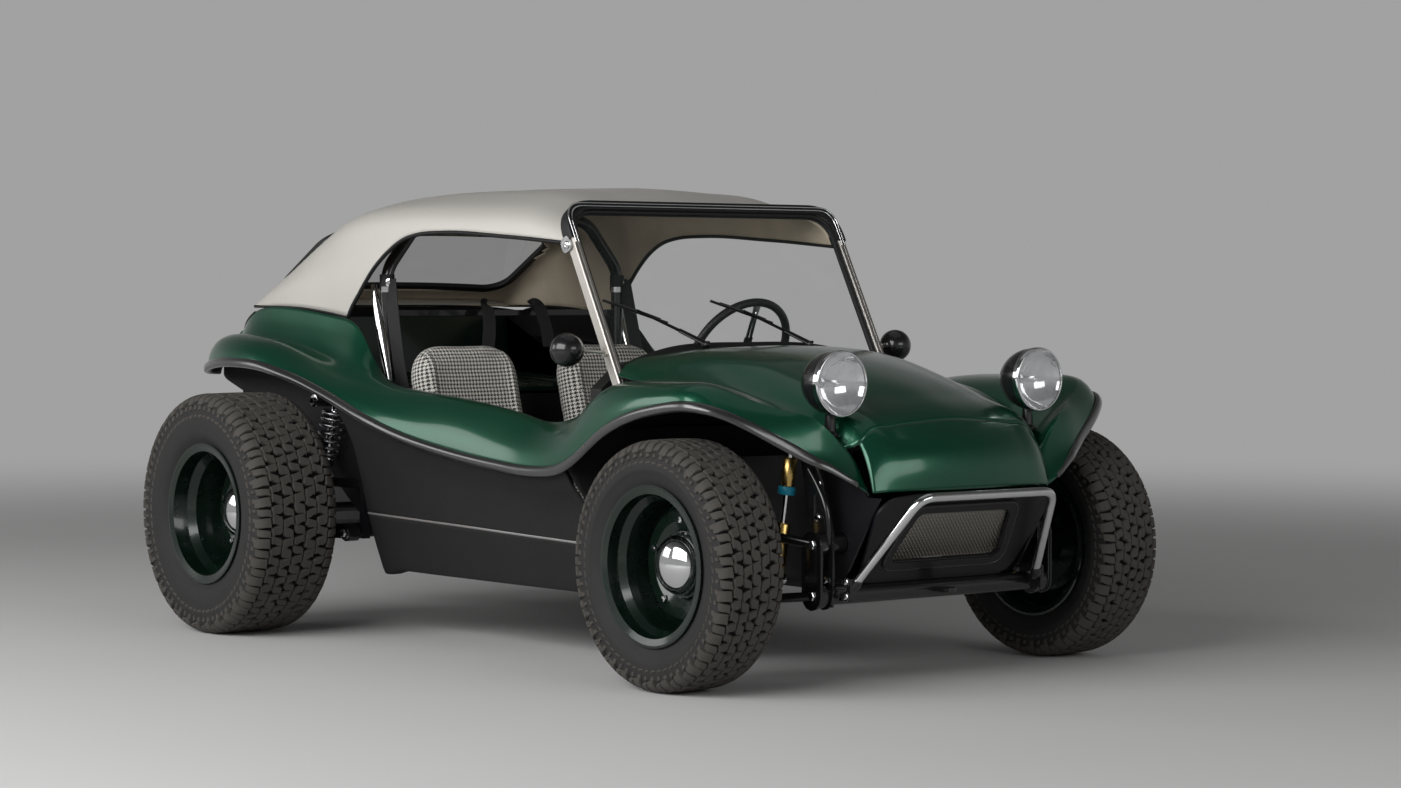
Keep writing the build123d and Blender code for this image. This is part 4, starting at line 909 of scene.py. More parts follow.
def build_skirts():
    """Lower sides: the stations' points joined by Hermite curves along x, cut by the rear edge, in one sheet
    above the crease and one below it. With them come the walls behind the front wheels and in the rear
    arches, the inner bulkhead, and a bead along the crease."""
    lips = {row[0]: np.array(row[-2:], float) for row in SIDE}
    table = []
    for x, *points in SKIRT:
        a, b = lips[x]
        d = (b - a) / np.linalg.norm(b - a)
        table.append([b + 6 * d + 9 * np.array([d[1], -d[0]])] + [np.array(p, float) for p in points])
    at = spans((-842, -610, 34), (-606, -550, 15), (-540, 610, 84))
    per = 8
    crease = 4
    rows = spline([row[0] for row in SKIRT], table, at)
    fine = across(rows, per, {crease: smoothstep(-640, -600, at)})
    upper = []
    lower = []
    edge = []
    for x, row, low in zip(at, fine, np.interp(at, *np.array(SKIRT_REAR, float).T)):
        c = chord(row)
        cut = np.interp(-low, -row[:, 1], c)
        fold = c[crease * per]
        upper.append(np.insert(read_at(row, c, np.linspace(0, min(cut, fold), 28)), 0, x, axis=1))
        if cut > fold:
            edge.append([x, *row[crease * per]])
            part = read_at(row, c, np.linspace(fold, min(cut, c[-1]), 12))
            turn = part[-1] - [(2, 4), (7, 7), (16, 8), (40, 8)]
            lower.append(np.insert(np.concatenate([part, turn]), 0, x, axis=1))
    shape = Shape().grid(upper).grid(lower)
    rim = np.array(WALL_RIM, float)
    share = np.linspace(0, 1, 7)[:, None, None]
    foot = np.column_stack([np.full(len(rim), 502.0), np.linspace(222, 735, len(rim))])
    wall = rim[None] * (1 - share) + foot[None] * share
    shape.grid(np.concatenate([613 + 12 * share + 0 * wall[..., :1], wall], -1), flip=True)
    shape.mirrored()
    y = np.linspace(-572, 572, 69)
    high = np.interp(np.abs(y), *np.array(BULKHEAD, float).T)
    shape.grid([np.column_stack([np.full(len(y), 636.0), y, 686 + (high - 686) * t])
                for t in np.linspace(0, 1, 5)])
    at = np.linspace(ARCH[0][0], ARCH[-1][0], 72)
    foot = spline([row[0] for row in ARCH], [row[1:] for row in ARCH], at)
    arch = Shape().grid([[(x, y, low + (high - low) * t) for t in np.linspace(0, 1, 7)]
                         for x, (y, low, high) in zip(at, foot)]).mirrored()
    make("rear_arch_walls", arch, "chassis", ["arch_black"], (), smooth=60, solid=3)
    make("side_panels", shape, "chassis", ["side_satin", "arch_black"], ("side_skirts",),
         smooth=40, solid=4)
    # The bead's pale colour is a painted highlight along the crease of the black sides.
    bead = Shape().rod(tube(np.array(edge) + [0, 0.5, 0], 5.0, 12)).mirrored()
    make("side_beads", bead, "chassis", ["crease_painted_highlight"], (), smooth=60)


# Hardtop. Columns: x, then half-section points (y, z) from the lower edge to the roof's middle.
TOP = [
    (-1440, (515, 1027), (502, 1040), (470, 1048), (380, 1052), (200, 1055), (0, 1056)),
    (-1386, (523, 1027), (507, 1062), (472, 1079), (380, 1083), (200, 1086), (0, 1087)),
    (-1242, (535, 1027), (517, 1110), (476, 1151), (392, 1159), (200, 1165), (0, 1167)),
    (-1093, (538, 1023), (520, 1150), (480, 1224), (402, 1239), (200, 1247), (0, 1250)),
    (-1000, (538, 1016), (521, 1170), (484, 1264), (410, 1287), (200, 1300), (0, 1304)),
    (-900, (538, 1006), (523, 1190), (488, 1302), (412, 1330), (200, 1350), (0, 1357)),
    (-760, (538, 988), (525, 1200), (492, 1327), (414, 1357), (200, 1380), (0, 1388)),
    (-600, (538, 988), (526, 1205), (494, 1336), (414, 1370), (200, 1392), (0, 1401)),
    (-200, (537, 988), (526, 1205), (496, 1332), (414, 1374), (200, 1399), (0, 1407)),
    (200, (534, 988), (525, 1200), (496, 1312), (414, 1356), (200, 1378), (0, 1386)),
    (400, (532, 988), (525, 1190), (494, 1276), (414, 1318), (200, 1334), (0, 1340)),
]
# Upper edge of the side opening, as (x, z).
SIDE_WINDOW = [(-838, 955), (-827, 988), (-750, 1082), (-671, 1161), (-616, 1201), (-525, 1244),
               (-453, 1258), (-303, 1264), (18, 1249), (224, 1236), (440, 1220)]
# Planes of the windscreen and of the hardtop's tail slope: a point, the way up and the way out.
SCREEN_FOOT = np.array([596.0, 0, 814.0])
SCREEN_UP = np.array([-216.0, 0, 401.0]) / np.hypot(216, 401)
SCREEN_OUT = np.array([SCREEN_UP[2], 0, -SCREEN_UP[0]])
SLOPE_MID = np.array([-1216.5, 0, 1182.0])
SLOPE_UP = np.array([339.0, 0, 190.0]) / np.hypot(339, 190)
SLOPE_OUT = np.array([-SLOPE_UP[2], 0, SLOPE_UP[0]])
# Rear window: width, height and corner radius.
PANE = (900, 368, 80)


def rounded_box(width, height, radius, per=10):
    """Outline of a rounded rectangle about the origin, counter-clockwise, closed."""
    a = np.linspace(0, np.pi / 2, per)
    corners = []
    for quarter, (sx, sy) in enumerate(((1, 1), (-1, 1), (-1, -1), (1, -1))):
        turn = a + quarter * np.pi / 2
        corners.append(np.stack([sx * (width / 2 - radius) + radius * np.cos(turn),
                                 sy * (height / 2 - radius) + radius * np.sin(turn)], -1))
    return around(np.concatenate(corners), 32 * per)


def on_plane(plane, across_y, up, out):
    """Point of a sloping plane from its distance across the car, up the plane, and out of it."""
    y, u, o = np.broadcast_arrays(np.asarray(across_y, float), up, out)
    foot, way, normal = plane
    return foot + y[..., None] * [0, 1, 0] + u[..., None] * way + o[..., None] * normal


def on_slope(across_y, up, out=0.0):
    """Point of the hardtop's tail slope, which has a slight crown across the car."""
    crown = 10.5 * (1 - (np.asarray(across_y, float) / 400) ** 2) - 2.0
    return on_plane((SLOPE_MID, SLOPE_UP, SLOPE_OUT), across_y, up, out + crown)


def on_screen(across_y, up, out=0.0):
    """Point of the windscreen's plane."""
    return on_plane((SCREEN_FOOT, SCREEN_UP, SCREEN_OUT), across_y, up, out)


def top_grid():
    """Hardtop's outer surface: half sections joined along x, each started at the side window's edge and
    laid over to the windscreen's slope at the front."""
    xs = np.array([row[0] for row in TOP], float)
    table = np.array([row[1:] for row in TOP], float)
    at = spans((-1440, -860, 60), (-852, -560, 38), (-545, 380, 44))
    rows = fair(spline(xs, table, at), 1.5)
    fine = across(rows, 10)
    window = along(SIDE_WINDOW, 300)
    order = np.argsort(window[:, 0])
    edge_z = np.where(at < -838, 0, np.interp(at, window[order, 0], window[order, 1]))
    half = []
    for x, row, z_low in zip(at, fine, edge_z):
        c = chord(row)
        start = np.interp(z_low, row[:, 1], c) if z_low > row[0, 1] else 0.0
        part = read_at(row, c, np.linspace(start, c[-1], 44))
        lean = smoothstep(60, 380, x)
        plane_x = SCREEN_FOOT[0] + (part[:, 1] - SCREEN_FOOT[2]) * SCREEN_UP[0] / SCREEN_UP[2] - 15
        half.append(np.column_stack([x + lean * (plane_x - 380), part]))
    half = np.array(half)
    right = half * [1, -1, 1]
    return np.concatenate([right, half[:, -2::-1]], axis=1)


def in_window(y, up):
    """Whether points of the tail slope lie in its window, whose corners are round."""
    width, height, radius = PANE
    dy = np.abs(y) - (width / 2 - radius)
    du = np.abs(up) - (height / 2 - radius)
    gap = np.hypot(np.maximum(dy, 0), np.maximum(du, 0)) + np.minimum(np.maximum(dy, du), 0) - radius
    return gap < 4


def build_hardtop():
    """Hardtop with its rear rail, and the seals of its side openings, lower edge and rear window."""
    grid = top_grid()
    faces = grid_faces(*grid.shape[:2])
    points = grid.reshape(-1, 3)
    middle = points[faces].mean(1)
    hole = in_window(middle[:, 1], (middle - SLOPE_MID) @ SLOPE_UP) & (middle[:, 0] < -1000)
    shape = Shape().add(points, faces[~hole][:, ::-1])
    y = np.linspace(-512, 512, 81)
    high = np.interp(np.abs(y), [0, 200, 380, 470, 502, 515], [1056, 1055, 1052, 1048, 1040, 1029])
    low = np.minimum(high - 0.5, 1030.0)
    t = np.linspace(0, 1, 5)[:, None]
    rail = np.stack([-1439 + 33 * t + 0 * y, y + 0 * t, high + (low - high) * t], -1)
    over = np.cross(rail[1, 0] - rail[0, 0], rail[0, 1] - rail[0, 0])[0] > 0
    shape.grid(rail, flip=bool(over))
    make("hardtop_shell", shape, "chassis", ["top_silver", "top_lining"], ("hardtop",),
         smooth=50, solid=7)
    width, height, radius = PANE
    outline = rounded_box(width + 6, height + 6, radius + 3)
    seal = [(-17, -3), (-15, 4), (-9, 8), (0, 9), (8, 7), (14, 1), (14, -12), (-4, -16), (-16, -10)]
    seals = Shape().hoop(band(on_slope(outline[:, 0], outline[:, 1], 2.0), SLOPE_OUT, seal, closed=True))
    edge = grid[:, 0] * [1, -1, 1]
    side = Shape().rod(tube(edge[edge[:, 0] > -838] - [0, 3.2, 1.0], 6.5, 12))
    side.rod(tube(edge[edge[:, 0] < -834] - [0, 3.5, 0.5], 5.0, 10))
    seals.join(side.mirrored())
    make("top_seals", seals, "chassis", ["seal_rubber"], (), smooth=50)


def band(path, out, profile, closed=False):
    """Profile carried along a path on a surface: its first number runs sideways in the surface, its second
    out of it."""
    p = np.asarray(path, float)
    t = np.roll(p, -1, 0) - np.roll(p, 1, 0) if closed else np.gradient(p, axis=0)
    t /= np.linalg.norm(t, axis=1, keepdims=True)
    n = np.broadcast_to(np.asarray(out, float), p.shape)
    n = n - (n * t).sum(1, keepdims=True) * t
    n /= np.linalg.norm(n, axis=1, keepdims=True)
    s = np.cross(t, n)
    q = np.asarray(profile, float)
    return p[:, None] + q[None, :, :1] * s[:, None] + q[None, :, 1:] * n[:, None]


def pane(outline, place):
    """Glass pane 5 mm thick: rings of its outline drawn in to the middle, on a front and a back surface."""
    scale = np.linspace(1, 0.02, 8)[:, None, None]
    flat = outline[None] * scale + outline.mean(0) * (1 - scale)
    front, back = (place(flat[..., 0], flat[..., 1], out) for out in (2.5, -2.5))
    return np.concatenate([front[::-1], back])


def build_panes():
    """Rear window and windscreen glass."""
    width, height, radius = PANE
    rear = Shape().rod(pane(rounded_box(width - 4, height - 4, radius), on_slope))
    make("rear_pane", rear, "chassis", ["dark_pane"], (), smooth=30)
    low = along([(504, 52), (300, 112), (0, 127), (-300, 112), (-504, 52)], 60)
    high = rounded_path([(-504, 52, 0), (-504, 574, 0), (504, 574, 0), (504, 52, 0)], 88, 14)[:, :2]
    front = Shape().rod(pane(around(np.concatenate([low, high[1:-1]]), 240), on_screen))
    make("screen_pane", front, "chassis", ["clear_pane"], ("window_panes",), smooth=30)


def build_screen():
    """Windscreen frame: a box section carried round the glass, its seal, the top's front seal with two
    bright beads, and a lug at each post's head."""
    def route(half, top, radius, low):
        corners = [(-half, low, 0), (-half, top, 0), (half, top, 0), (half, low, 0)]
        return along_straight(rounded_path(corners, radius, 16), 150)

    def strip(line, profile):
        return band(on_screen(line[:, 0], line[:, 1]), SCREEN_OUT, profile)

    box = [(-13, -15), (-13, 13), (-10, 16), (-2, 16), (-1, 13.5), (1, 13.5), (2, 16), (10, 16), (13, 13),
           (13, -15), (10, -17), (-10, -17)]
    frame_line = route(517, 585, 96, -48)
    make("screen_frame", Shape().rod(strip(frame_line, box)), "chassis", ["brushed_alloy"],
         ("windscreen_frame",), smooth=30)
    seal = [(-7, -8), (-8, 0), (-7, 8), (0, 10.5), (6, 7), (7, 3), (4, 0), (7, -3), (6, -8)]
    foot = along([(506, 44), (300, 103), (0, 117.5), (-300, 103), (-506, 44)], 90)
    sill = [(-15, -11), (-15, 9), (-6, 13), (6, 12), (14, 6), (14, -8)]
    high = frame_line[frame_line[:, 1] > 462] * [1.004, 1, 1] + [0, 3, 0]
    cover = [(-16, -20), (-17, 12), (-14, 18.5), (-9, 19.5), (-7.5, 16.5), (-2, 16.5), (0, 19.5), (2, 16.5),
             (7, 16.5), (9, 19.5), (15, 18), (17, 10), (16, -20)]
    rubber = Shape()
    for line, profile in ((route(501, 571, 84, 46), seal), (foot, sill), (high, cover)):
        rubber.rod(strip(line, profile))
    make("screen_rubber", rubber, "chassis", ["seal_rubber"], (), smooth=40)
    bright = Shape()
    for off in (-5, 5):
        line = route(517 + off, 588 + off, 96 + off, 462)
        bright.rod(tube(on_screen(line[:, 0], line[:, 1], 18.5), 2.6, 10))
    for side in (1, -1):
        centre = on_screen(531.5 * side, 466, -12)
        lug = rounded_box(44, 46, 16) + [-4, 4]
        plate = centre + lug[:, :1] * SCREEN_OUT + lug[:, 1:] * SCREEN_UP
        bright.rod(np.stack([plate + [0, side * y, 0] for y in (0, 4.5)]), flip=side < 0)
        bright.lathe([(4, 12.5), (8, 11.5), (10, 8), (10, 3), (9, 0.5), (4, 0.5)], (0, side, 0), centre)
    make("screen_brights", bright, "chassis", ["polished"], (), smooth=40)


# Headlamps: x, y and z of the left lens's middle, and its radius.
LAMP = (1401, 374.5, 836)
LENS = 86.2


def build_lamps():
    """Headlamps: a spun bowl, a rolled chrome rim, a lens with upright flutes, a reflector and a stalk."""
    x, y, z = LAMP
    ahead = (1, 0, 0)
    for side, hand in SIDES:
        at = (x, y * side, z)
        bowl = Shape()
        shell = [(-132, 0.5), (-130, 18), (-120, 38), (-100, 59), (-74, 76), (-48, 85.5), (-24, 89),
                 (-13, 90)]
        bowl.lathe(along(shell, 60), ahead, at, flip=True)
        bowl.lathe([(-14, 89.5), (-12, 84), (-16, 80), (-60, 66), (-90, 40), (-100, 0.5)], ahead, at,
                   flip=True)
        stalk = [(x - 46, y * side, height) for height in (700.0, 722, 760)]
        bowl.rod(tube(along(stalk, 12), np.linspace(17, 13, 12), 24))
        bowl.lathe([(0, 0.5), (0, 26), (5, 28), (10, 24), (16, 18), (18, 0.5)], (0, 0, 1),
                   (x - 46, y * side, 690), 40, flip=True)
        make("lamp_bowl_" + hand, bowl, "chassis", ["black_gloss"], ("headlamp_bowls",) if side > 0 else (),
             smooth=50)
        section = [(-15, 88.4), (-14.5, 91.0), (-10, 91.4), (-2, 91.4), (3, 90.6), (6, 88.6), (6, 86.4),
                   (3, 85.2), (-2, 85.6), (-15, 88.4)]
        ring = Shape().grid(turned(along(section, 28)[:-1], ahead, at), wrap_rows=True, wrap_columns=True,
                            flip=True)
        mirror = [(-2, 85.4), (-12, 78), (-28, 62), (-40, 40), (-46, 16), (-46, 0.5)]
        ring.lathe(along(mirror, 40), ahead, at, flip=True)
        ring.lathe(along([(-46, 9), (-20, 9), (-12, 8), (-8, 4), (-7, 0.4)], 20), ahead, at, 32, flip=True)
        make("lamp_rim_" + hand, ring, "chassis", ["polished"], (), smooth=50)
        u = np.linspace(0.01, 1, 26)[:, None]
        a = np.linspace(0, TAU, 132, endpoint=False)[None, :]
        ly = LENS * u * np.cos(a)
        lz = LENS * u * np.sin(a)
        dome = 3.5 + 13.0 * (1 - u ** 2) + 0 * a
        wide = np.where(np.abs(lz + 8) < 40, 7.0, 14.0)
        flute = 1.5 * np.abs(np.sin(ly * np.pi / wide)) * smoothstep(1.0, 0.93, u)
        front = np.stack([x + dome + flute * 0.55, y * side + ly, z + lz], -1)
        back = np.stack([x + dome - 3.5 - flute, y * side + ly, z + lz], -1)
        lens = Shape().rod(np.concatenate([front, back[::-1]]))
        make("lamp_lens_" + hand, lens, "chassis", ["lens_glass"], ("headlamp_lenses",) if side > 0 else (),
             smooth=40)


def build_mirrors():
    """Round mirrors, black towards the front, on stems clamped to the windscreen's posts."""
    black = Shape()
    bright = Shape()
    facing = (1, 0, 0.1)
    a = np.linspace(0.02, 2.55, 40)
    ball = 49.5 * np.stack([np.cos(a), np.sin(a)], -1)
    for side in (1, -1):
        at = np.array([502.0, 636 * side, 915])
        end = at + [0, -44 * side, -1]
        black.lathe(ball, facing, at, 72)
        bright.lathe([(-41, 27.6), (-38, 25.5), (-37.4, 0.4)], facing, at, 72)
        bright.rod(tube(along_straight([end, [541, 534 * side, 908]], 8), 5.2, 16))
        bright.rod(tube(along_straight([at + [0, -58 * side, -1.4], end], 3), 8, 20))
        box = rounded_box(26, 18, 5)
        clamp = [543, 531 * side, 908] + box[:, :1] * SCREEN_UP + box[:, 1:] * SCREEN_OUT
        bright.rod(np.stack([clamp + [0, side * y, 0] for y in (-2, 5)]), flip=side > 0)
    make("mirror_balls", black, "chassis", ["black_gloss"], ("mirrors",), smooth=50)
    make("mirror_stems", bright, "chassis", ["brushed_alloy"], (), smooth=40)


# Nose: a point and the directions of its sloping face, and the grille's corners on it.
NOSE_LOW = np.array([1365.0, 0, 284.0])
NOSE_UP = np.array([159.0, 0, 248.0]) / np.hypot(159, 248)
NOSE_OUT = np.array([NOSE_UP[2], 0, -NOSE_UP[0]])
GRILLE = [(211, 70), (172, 236), (-172, 236), (-211, 70)]


def on_nose(across_y, up, out=0.0):
    """Point of the nose's sloping face."""
    return on_plane((NOSE_LOW, NOSE_UP, NOSE_OUT), across_y, up, out)


def in_grille(y, u):
    """Whether points of the face lie in the grille's opening or up to 7 mm outside it. Its sides slope in
    towards the top."""
    (low_y, low_u), (high_y, high_u) = GRILLE[:2]
    half = low_y + (u - low_u) * (high_y - low_y) / (high_u - low_u)
    return np.minimum(np.minimum(half - np.abs(y), u - low_u), high_u - u) > -7


def trapezoid(grow, radius):
    """Outline of the grille's opening, grown outwards, with round corners."""
    corners = [(y + np.sign(y) * grow, u + (grow if u > 150 else -grow), 0) for y, u in GRILLE]
    return around(rounded_path(corners, radius, 12, closed=True), 259)[:, :2]


def build_grille():
    """Wire mesh: two sets of wires at 45 degrees that pass over and under each other, cut to the opening,
    inside a rolled frame on the nose's black panel."""
    shape = Shape()
    pitch = 9.0
    t = np.arange(-420, 421, pitch / 2)
    for lean in (1, -1):
        for c in np.arange(-60, 61) * pitch:
            y = (c + t) / np.sqrt(2)
            u = 153 + lean * (t - c) / np.sqrt(2)
            spot = np.flatnonzero(in_grille(y, u))
            if len(spot) < 3:
                continue
            phase = (t / pitch + c / pitch) * np.pi
            line = on_nose(y, u, -11 + 1.1 * lean * np.cos(phase))[spot[0]:spot[-1] + 1]
            shape.grid(tube(line, 1.15, 4), wrap_columns=True)
    make("grille_mesh", shape, "chassis", ["wire_metal"], ("grille",), smooth=60)
    ring = Shape()
    for grow, radius, lip in ((4, 30, [(-5, -9), (-5, 1), (-2, 4), (3, 4.5), (6, 1), (6, -9)]),
                              (24, 46, [(-4, -1), (-4, 5.5), (-1.5, 8.5), (1.5, 8.5), (4, 5.5), (4, -1)])):
        line = trapezoid(grow, radius)
        ring.hoop(band(on_nose(line[:, 0], line[:, 1]), NOSE_OUT, lip, closed=True))
    inner, outer = trapezoid(5, 30), trapezoid(24, 46)
    ring.hoop(np.stack([on_nose(line[:, 0], line[:, 1], out)
                        for line, out in ((inner, 2.2), (outer, 2.2), (outer, -1), (inner, -1))]))
    ring.outward()
    make("grille_surround", ring, "chassis", ["black_gloss"], (), smooth=40)
    # A near-black funnel closes the opening behind the mesh: painted shade for the inside of the nose.
    mouth = trapezoid(2, 30)
    deep = on_nose(mouth[:, 0] * 0.98, 153 + (mouth[:, 1] - 153) * 0.96, -40)
    middle = deep.mean(0) + (deep - deep.mean(0)) * 0.01
    cave = Shape().grid(np.stack([on_nose(mouth[:, 0], mouth[:, 1], -16), deep, middle]), wrap_columns=True,
                        flip=True)
    make("grille_core", cave, "chassis", ["core_painted_shade"], (), smooth=40)


def build_bumper():
    """Polished hoop, with its black end blocks and the struts behind them."""
    corners = [(1424, -342, 294), (1588, -250, 531), (1588, 250, 531), (1424, 342, 294)]
    hoop = Shape().rod(tube(along_straight(rounded_path(corners, 62, 16), 160), 13, 28))
    hoop.outward()
    make("bumper_hoop", hoop, "chassis", ["polished"], ("front_bumper",), smooth=60)
    bend = [(1430, 340, 301), (1424, 344, 288), (1412, 352, 279), (1394, 362, 277), (1372, 374, 277)]
    strut = [(1300, 400, 600), (1330, 398, 560), (1362, 396, 500), (1372, 394, 440), (1372, 392, 400)]
    outline = rounded_box(74, 214, 37, 4)
    ends = Shape()
    for side in (1, -1):
        turn = [1, side, 1]
        ends.rod(tube(along(np.array(bend) * turn, 26), np.linspace(15.5, 14.5, 26), 20))
        for y in (388, 431):
            plate = np.stack([np.column_stack([1352 + outline[:, 0] * grow, np.full(len(outline), y + w),
                                               328 + outline[:, 1] * grow])
                              for w, grow in ((-3.5, 0.97), (-2.5, 1), (2.5, 1), (3.5, 0.97))]) * turn
            ends.rod(plate)
            ends.hoop(band(plate[2], (0, side, 0), [(-2.5, 0), (-2.5, 5), (2.5, 5), (2.5, 0)], closed=True))
        ends.rod(tube(along(np.array(strut) * turn, 40), 10.5, 18))
    ends.outward()
    make("beam_ends", ends, "chassis", ["black_gloss"], (), smooth=40)


# Half profile of a hub cap, as (outwards, radius).
CAP = [(0, 88), (3, 91), (8, 92), (12, 90), (16, 86), (30, 82), (46, 72), (58, 56), (66, 36), (70, 16),
       (71, 0.4)]


def build_caps():
    """Domed chrome hub caps on the naves, with each wheel's nuts."""
    line = along(CAP, 34)
    for end, radius, _, _, _, nave, axle_x, _ in WHEELS:
        for side, hand in SIDES:
            ring = spun(np.column_stack([nave + 24 + line[:, 0], line[:, 1]]), axle_x, radius, 72)
            shape = Shape().grid(ring * [1, side, 1], wrap_rows=True, flip=side < 0)
            for turn in np.linspace(0, TAU, 5, endpoint=False):
                c = (axle_x + 122 * np.sin(turn), nave + 36, radius + 122 * np.cos(turn))
                nut = turned([(-8, 11), (4, 11), (8, 9), (9, 0.4)], (0, 1, 0), c, 6)
                shape.grid(nut * [1, side, 1], wrap_rows=True, flip=side > 0)
            wheel = end + "_" + hand
            make("hub_cap_" + wheel, shape, "wheel_" + wheel, ["polished"], (), smooth=35)


# Seats: the middle of the left one, the foot of its back and the directions along it, half the cushion's
# width, and how far the cloth may swell.
SEAT_Y = 285
BACK_FOOT = np.array([-345.6, SEAT_Y, 330.0])
BACK_UP = np.array([-0.259, 0, 0.966])
BACK_OUT = np.array([0.966, 0, 0.259])
SEAT_HALF = 214
SWELL = 9


def filled(line, middle, steps, edge):
    """Fills an outline with rings drawn in to its middle. With their points come the shares of the full
    depth: the quarter circle sqrt(1 - (1 - d / r)**2) of the distance d from the outline."""
    t = np.concatenate([np.linspace(0.02, 0.7, steps), 1 - 0.3 * (1 - np.linspace(0.05, 1, steps)) ** 2])
    flat = middle + (line - middle) * t[:, None, None]
    gap = np.linalg.norm(line - middle, axis=1) * (1 - t[:, None])
    return flat, np.sqrt(np.clip(1 - (1 - np.clip(gap / edge, 0, 1)) ** 2, 0, 1))


def back_shape():
    """Seat back: an outline with round shoulders, filled by a front and a rear sheet that meet in a round
    edge. The front has bolsters at its sides and a hollow between them."""
    corners = [(-196, 6, 0), (-206, 300, 0), (-196, 616, 0), (196, 616, 0), (206, 300, 0), (196, 6, 0)]
    line = around(rounded_path(corners, 120, 14, closed=True)[:, :2], 220)
    flat, edge = filled(line, np.array([0, 300.0]), 16, 42)
    u = np.abs(flat[..., 0])
    bolster = np.exp(-((u - 168) / 34) ** 2) * 15
    hollow = 12 * np.exp(-(u / 110) ** 2)
    front = -50 + (34 + bolster - hollow * 0.4) * edge
    back = -50 - 44 * edge

    def place(depth):
        return BACK_FOOT + flat[..., :1] * [0, 1, 0] + flat[..., 1:] * BACK_UP + depth[..., None] * BACK_OUT

    return np.concatenate([place(front), place(back)[-2::-1]])


def base_shape():
    """Seat cushion: round-edged block, higher at its front edge, with side bolsters."""
    flat, edge = filled(rounded_box(SEAT_HALF * 2 + 4, 486, 50, 14), 0.0, 14, 46)
    x = -80 + flat[..., 1]
    y = SEAT_Y + flat[..., 0]
    bolster = 12 * np.exp(-((np.abs(flat[..., 0]) - 168) / 32) ** 2)
    top = 322 + 0.09 * flat[..., 1] + (92 + bolster) * edge
    low = 322 - 88 * edge
    return np.concatenate([np.stack([x, y, top], -1), np.stack([x, y, low], -1)[-2::-1]])


def read_all(items, key, wide=1, kind=float):
    """One attribute of all items of a mesh as an array, wide values to an item."""
    out = np.empty(len(items) * wide, kind)
    items.foreach_get(key, out)
    return out.reshape(-1, wide) if wide > 1 else out


def swelled(obj, cap):
    """Blows the closed mesh up a little as cloth over air, then holds each point within cap of its start."""
    scene = bpy.context.scene
    net = obj.modifiers.new("Even", "REMESH")
    net.mode = "VOXEL"
    net.voxel_size = 7 * MM
    graph = bpy.context.evaluated_depsgraph_get()
    even = bpy.data.meshes.new_from_object(obj.evaluated_get(graph))
    obj.modifiers.clear()
    obj.data = even
    start = read_all(even.vertices, "co", 3)
    cloth = obj.modifiers.new("Cover", "CLOTH")
    for key, value in (("quality", 5), ("mass", 0.3), ("tension_stiffness", 20),
                       ("compression_stiffness", 20), ("shear_stiffness", 8), ("bending_stiffness", 2),
                       ("use_pressure", True), ("uniform_pressure_force", 4)):
        setattr(cloth.settings, key, value)
    cloth.settings.effector_weights.gravity = 0
    cloth.point_cache.frame_start = 1
    cloth.point_cache.frame_end = 20
    for frame in range(1, 21):
        scene.frame_set(frame)
    graph = bpy.context.evaluated_depsgraph_get()
    moved = bpy.data.meshes.new_from_object(obj.evaluated_get(graph))
    obj.modifiers.clear()
    step = read_all(moved.vertices, "co", 3) - start
    size = np.linalg.norm(step, axis=1, keepdims=True)
    step *= np.minimum(1, cap * MM / np.maximum(size, 1e-9))
    faces = read_all(moved.polygons, "vertices", 4, int)
    scene.frame_set(1)
    return (start + step) / MM, faces


def seamed(points, foot, across_axis, up_axis, out_axis, flutes):
    """Presses sewn seams into a cushion: each is a narrow Gaussian valley, deepest on the outer side."""
    seam = 134
    depth = 5.0
    q = points - foot
    u, v, n = q @ across_axis, q @ up_axis, q @ out_axis
    panel = smoothstep(seam + 4, seam - 10, np.abs(u))
    rows = np.abs(((v / flutes) + 0.5) % 1 - 0.5) * flutes
    valley = np.exp(-((np.abs(u) - seam) / 6.5) ** 2) + 0.55 * np.exp(-(rows / 7.0) ** 2) * panel
    return points - (depth * valley * smoothstep(-62, -38, n))[:, None] * out_axis


def weave_map(mesh, foot, *directions):
    """UV map in metres laid on the cover from the side that each face looks to."""
    axes = np.stack(directions)
    turn = np.abs(read_all(mesh.polygons, "normal", 3) @ axes.T).argmax(1)
    q = (read_all(mesh.vertices, "co", 3) - foot * MM) @ axes.T
    corner = read_all(mesh.loops, "vertex_index", 1, int)
    side = np.repeat(turn, read_all(mesh.polygons, "loop_total", 1, int))
    first = np.where(side == 0, q[corner, 2], q[corner, 0])
    second = np.where(side == 1, q[corner, 2], q[corner, 1])
    layer = mesh.uv_layers.new(name="weave")
    layer.data.foreach_set("uv", np.stack([first, second], -1).reshape(-1))


def build_seats():
    """Seat backs and cushions: swelled once for one seat, seamed, and set out for both."""
    wide = np.array([0, 1.0, 0])
    back = (BACK_FOOT, wide, BACK_UP, BACK_OUT)
    base = (np.array([-80.0, SEAT_Y, 400]), wide, np.array([1.0, 0, 0]), np.array([0, 0, 1.0]))
    for name, grid, axes, node, flutes in (("seat_back_pad", back_shape(), back, "seat_backs", 52),
                                           ("seat_base_pad", base_shape(), base, "seat_bases", 60)):
        shape = Shape().rod(grid)
        shape.outward()
        points = np.concatenate(shape.points)
        faces = shape.faces
        draft = make(name + "_draft", shape, "chassis", ["houndstooth"])
        points, quads = swelled(draft, SWELL)
        faces = [quads]
        bpy.data.objects.remove(draft)
        points = seamed(points, *axes, flutes)
        for side, hand in SIDES:
            shift = np.array([0, 0 if side > 0 else -2 * SEAT_Y, 0])
            cover = Shape().add(points + shift, faces)
            obj = make(name + "_" + hand, cover, "chassis", ["houndstooth"], (node,) if side > 0 else (),
                       smooth=80)
            weave_map(obj.data, axes[0] + shift, *axes[1:])


